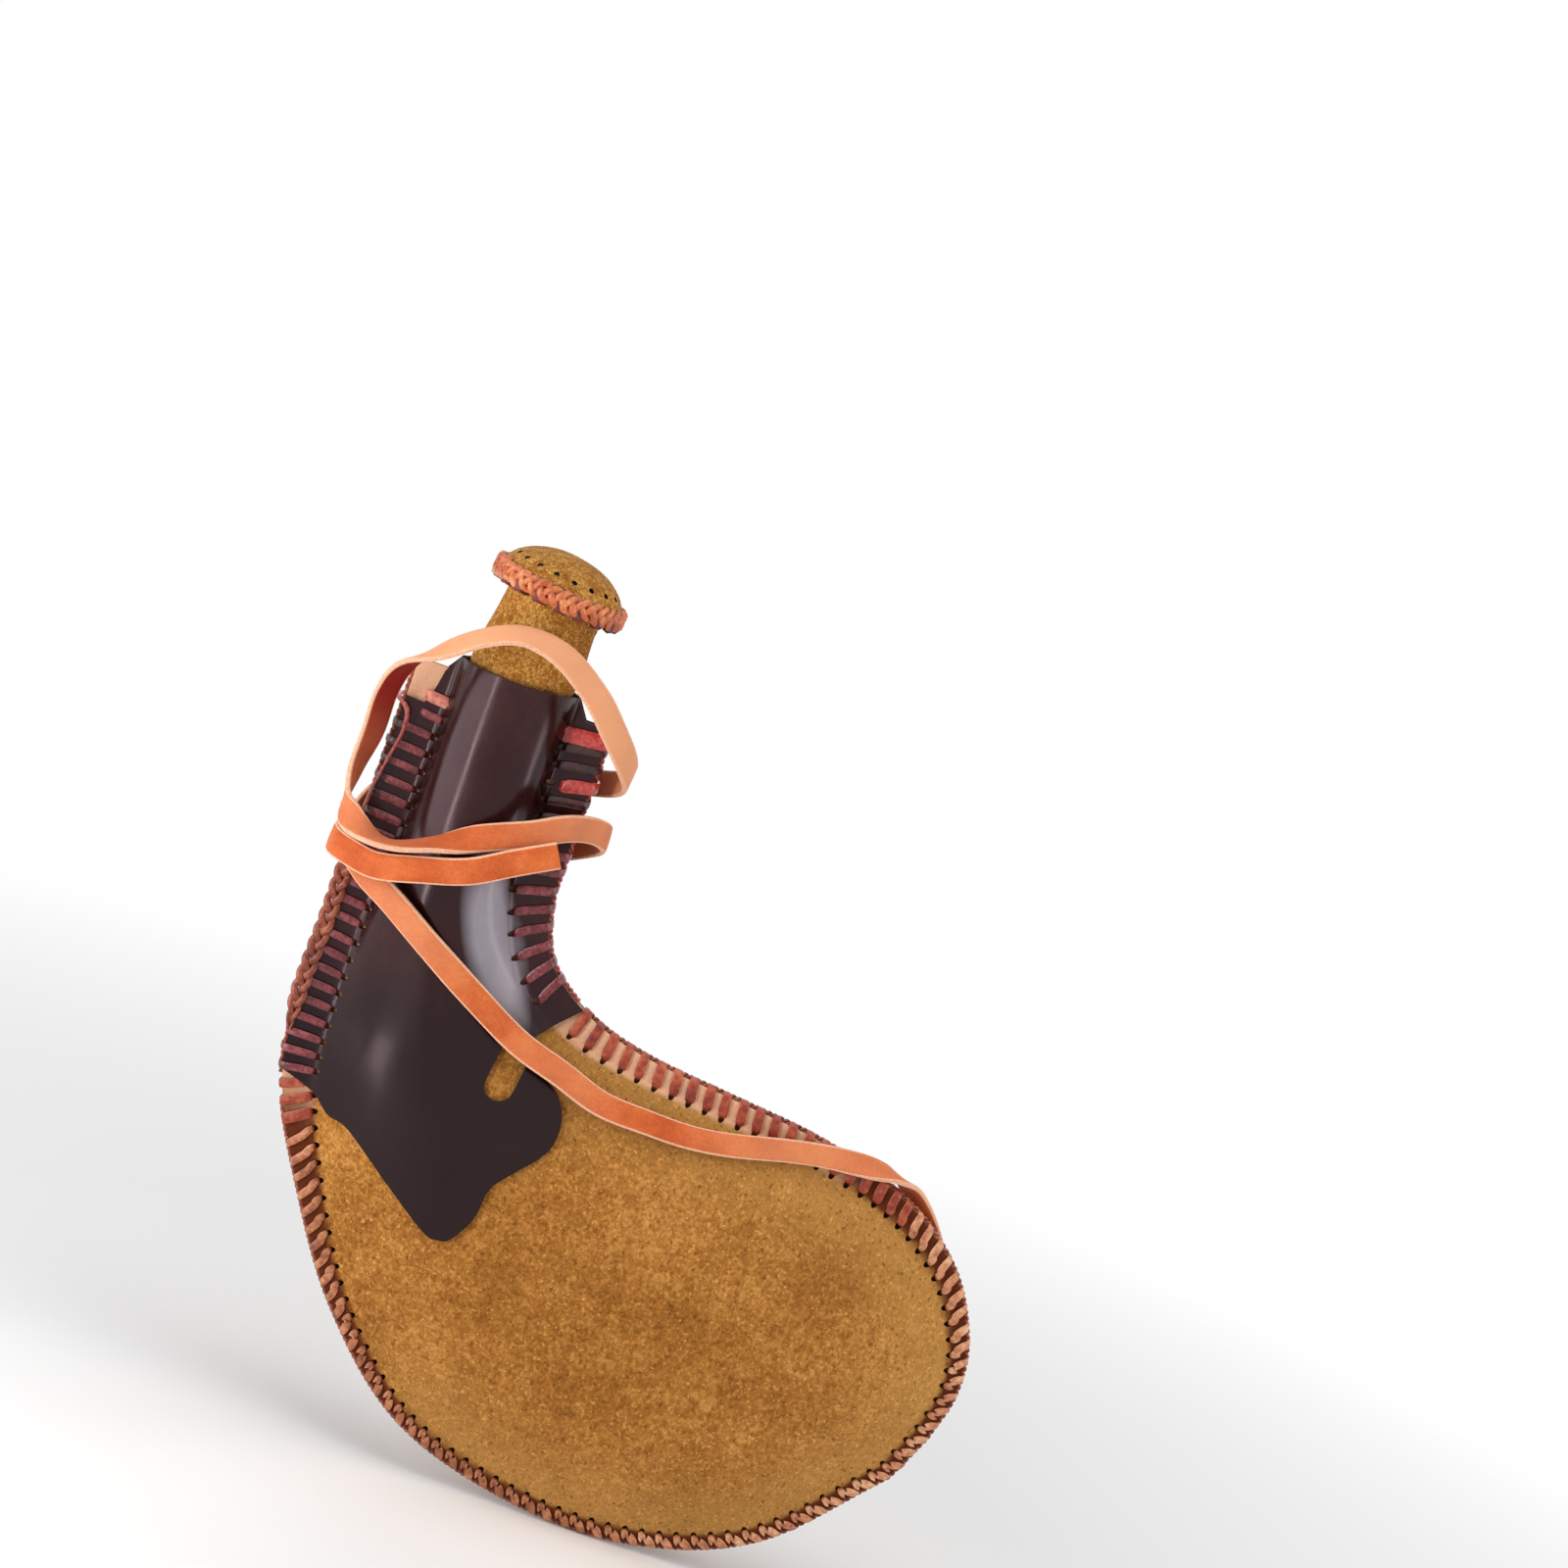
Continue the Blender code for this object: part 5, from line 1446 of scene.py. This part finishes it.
def dome_point(share, lift=0.0):
    """A point of the cap's quarter arc, as (radius, z): share 0 is its edge and 1 its top."""
    a = share * math.pi / 2
    return (CAP_DRAWN_R + lift) * math.cos(a), CAP_FOOT_Z + (CAP_DRAWN_HEIGHT + lift) * math.sin(a)


def dome_profile(lift):
    """The cap's quarter arc, from its edge up to its top."""
    return [dome_point(k / 24, lift) for k in range(24)] + [(0.0, CAP_FOOT_Z + CAP_DRAWN_HEIGHT + lift)]


def punches():
    """The cutter for the holes round the cap."""
    r, z = dome_point(CAP_HOLE_SHARE)
    steep = (z - CAP_FOOT_Z) / CAP_DRAWN_HEIGHT**2
    bm = bmesh.new()
    for a in around(CAP_HOLES):
        at = round_axis(r, a, z)
        normal = Vector((at.x / CAP_DRAWN_R**2, at.y / CAP_DRAWN_R**2, steep))
        place = Matrix.Translation(at) @ normal.to_track_quat("Z", "Y").to_matrix().to_4x4()
        bmesh.ops.create_cone(
            bm, cap_ends=True, segments=14, radius1=CAP_HOLE_WIDTH / 2, radius2=CAP_HOLE_WIDTH / 2,
            depth=3 * CAP_SUEDE, matrix=place,
        )
    # The holes' walls get the near-black finish: painted shade
    return cutter_of("punches", bm, "hole_wall")


def build_cap():
    """The cap: a suede dome with punched holes, a near-black sheet under it as painted shade in the holes,
    and the suede disc below.
    """
    verts, faces = turned(dome_profile(0), dome_profile(-CAP_SUEDE))
    sunk = []
    for x, y, z in verts:
        hollow = 0.5 + noise.noise(Vector((x / HOLLOW_SIZE, y / HOLLOW_SIZE, 3.3)))
        sunk.append((x, y, z - HOLLOW_DEPTH * hollow * max(0, (z - CAP_FOOT_Z) / CAP_DRAWN_HEIGHT)))
    dome = add_turned("cap_suede", sunk, faces, "stopper_suede", "cap_dome")
    carve(dome, punches(), "DIFFERENCE")
    smooth(dome.data, CARVED_SHARP)

    # A near-black sheet under the dome: painted shade seen through the holes
    faces_of_shade_sheet = (dome_profile(-CAP_SUEDE - gap) for gap in (SHADE_SHEET_OUTER, SHADE_SHEET_INNER))
    shade_sheet = add_turned("cap_shade_sheet", *turned(*faces_of_shade_sheet, 64), "hole_wall")

    half = (WASHER_TOP_Z - WASHER_FOOT_Z) / 2
    edge = [
        (CAP_DRAWN_R - half + half * math.sin(a), WASHER_TOP_Z - half + half * math.cos(a))
        for a in np.linspace(0, math.pi, 7)
    ]
    hole = [(DISC_HOLE_R, WASHER_TOP_Z), (DISC_HOLE_R, WASHER_FOOT_Z)]
    disc = add_turned("cap_disc", *turned(edge, hole), "stopper_suede", "cap_base")
    for piece in (dome, shade_sheet, disc):
        piece.data.transform(CAP_SEAT)


def cap_route(angle, slant, lift):
    """A stitch of the cap's lacing: from the dome, over the edge, to the disc's underside."""
    top_r, top_z = dome_point(0.18, lift)
    stops = [(top_r - 0.9 * MM, top_z - 0.5 * MM)]
    stops += [dome_point(share, lift) for share in (0.17, 0.12, 0.05)]
    stops += [
        (CAP_DRAWN_R + lift, WASHER_TOP_Z),
        (CAP_DRAWN_R + 0.9 * lift, WASHER_FOOT_Z + 0.3 * MM),
        (CAP_DRAWN_R, WASHER_FOOT_Z - 0.5 * MM),
        (CAP_DRAWN_R - 1.6 * MM, WASHER_FOOT_Z - 0.7 * MM),
        (CAP_DRAWN_R - 3.4 * MM, WASHER_FOOT_Z),
    ]
    stops = catmull_rom(stops, 3)
    points, across = [], []
    for k, (r, z) in enumerate(stops):
        a = angle + slant * (k / (len(stops) - 1) - 0.35)
        points.append(round_axis(r, a, z))
        across.append(Vector((-math.sin(a), math.cos(a), 0)))
    return points, across


def cap_braid():
    """Three strands plaited round the cap's edge."""
    strands = []
    count = 24 * CAP_BRAID_TURNS
    for strand in range(3):
        path, widths = [], []
        for k in range(count + 1):
            a = 2 * math.pi * k / count
            rough = noise.noise(round_axis(3, a, strand))
            slip = 0.7 * noise.noise(round_axis(2, a, 7.7))
            wave = CAP_BRAID_TURNS * a + 2 * math.pi * strand / 3 + slip
            up = CAP_BRAID_SWING * (1 + 0.25 * rough) * math.sin(wave)
            out = CAP_BRAID_OUT + CAP_BRAID_WEAVE * math.sin(2 * wave) - up * up / CAP_EDGE_BEND
            path.append(round_axis(CAP_DRAWN_R + out, a, CAP_BRAID_MIDDLE_Z + up))
            widths.append(CAP_LACE * (1 + 0.3 * rough))
        strands.append(thong(path, [Vector((0, 0, 1))] * len(path), widths, CAP_LACE_THICKNESS, 0.9))
    return strands


def build_cap_lacing():
    """The chunky lace round the cap's edge: a braid over slanting stitches that are dark with painted shade
    in the braid's gaps.
    """
    pitch = 2 * math.pi / CAP_HOLES
    under = []
    for k in range(CAP_HOLES):
        angle = pitch * (k + 0.5) + RANDOM.normal(0, 0.02)
        points, across = cap_route(angle, pitch * 0.9, UNDER_LIFT)
        under.append(thong(points, across, [1.5 * CAP_LACE] * len(points), UNDER_THICKNESS, 0.9))
    looks = ["cap_lace", "cap_lace_edge"]
    braid = add_strands("cap_lacing", cap_braid(), looks, "stopper", "cap_lace", "cap_lace")
    # The under-stitches are dark: painted shade between the braid's strands
    below = add_strands("cap_under_lacing", under, ["dark_lace", "dark_lace"], "stopper", "cap_lace")
    for piece in (braid, below):
        piece.data.transform(CAP_SEAT)


# What stays from the part


def build_liner():
    """The latex bladder, its facets eased."""
    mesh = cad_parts["bladder"].data.copy()
    mesh.name = "latex_bladder"
    rework(mesh, weld)
    mesh.materials.clear()
    add_piece("latex_bladder", mesh, ["latex"], "bag", "liner", "bladder")
    mesh.polygons.foreach_set("material_index", [0] * len(mesh.polygons))
    mesh.shade_smooth()


def dress_nodes():
    """Finishes for the nodes that are shown as they are."""
    for node, finish in (("neck_tube", "plastic"), ("stopper_core", "wood")):
        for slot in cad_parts[node].material_slots:
            slot.material = FINISHES[finish]


build_strap()
build_panels()
build_sleeves()
build_lacing()
build_lace_end()
build_stopper_cover()
build_cap()
build_cap_lacing()
build_liner()
dress_nodes()


# Floor and light


def floor_material():
    """A pale floor that keeps the shadow and fades to plain white away from the object."""
    s = Shader("floor_finish", 0.9, Specular_IOR_Level=0, Base_Color=(0.93, 0.93, 0.93))
    fade = s.spread(s.length(s.place), FADE_FROM, FADE_TO)
    share = s.math("MULTIPLY", fade, s.background_rays())
    white = s.add("Emission", 0, {"Color": (1, 1, 1)})
    blend = s.add("MixShader", 0, {0: share, 1: s.bsdf.outputs[0], 2: white})
    s.feed(s.tree.nodes["Material Output"].inputs["Surface"], blend)
    return s.material


def build_stage():
    """The floor, centred under the object."""
    mesh = bpy.data.meshes.new("floor")
    bm = bmesh.new()
    bmesh.ops.create_circle(bm, cap_ends=True, segments=96, radius=FLOOR_R)
    bm.to_mesh(mesh)
    bm.free()
    mesh.materials.append(floor_material())
    floor = put("floor", mesh)
    floor.location = (LIT_PLACE.x, LIT_PLACE.y, FLOOR_Z)


def add_lamp(name, place, width, height, brightness):
    """A softbox turned to the object, with its brightness as seen: 1 is white."""
    data = bpy.data.lights.new(name, "AREA")
    data.shape = "RECTANGLE"
    data.size, data.size_y = width, height
    data.energy = brightness * math.pi * width * height
    lamp = put(name, data)
    lamp.location = place
    lamp.rotation_euler = (LIT_PLACE - Vector(place)).to_track_quat("-Z", "Y").to_euler()


def build_lights():
    """Soft studio light: a box overhead, boxes at the sides, a strip that draws the streak, an even world."""
    for name, lamp in LAMPS.items():
        add_lamp(name, *lamp)
    world = bpy.data.worlds.new("world")
    bpy.context.scene.world = world
    world.use_nodes = True
    sky = Nodes(world.node_tree)
    background = sky.tree.nodes["Background"]
    sky.feed(background.inputs["Color"], (1, 1, 1))
    sky.feed(background.inputs["Strength"], sky.spread(sky.background_rays(), 0, 1, AMBIENT, 1))


build_stage()
build_lights()
bpy.context.scene.view_settings.view_transform = "Standard"
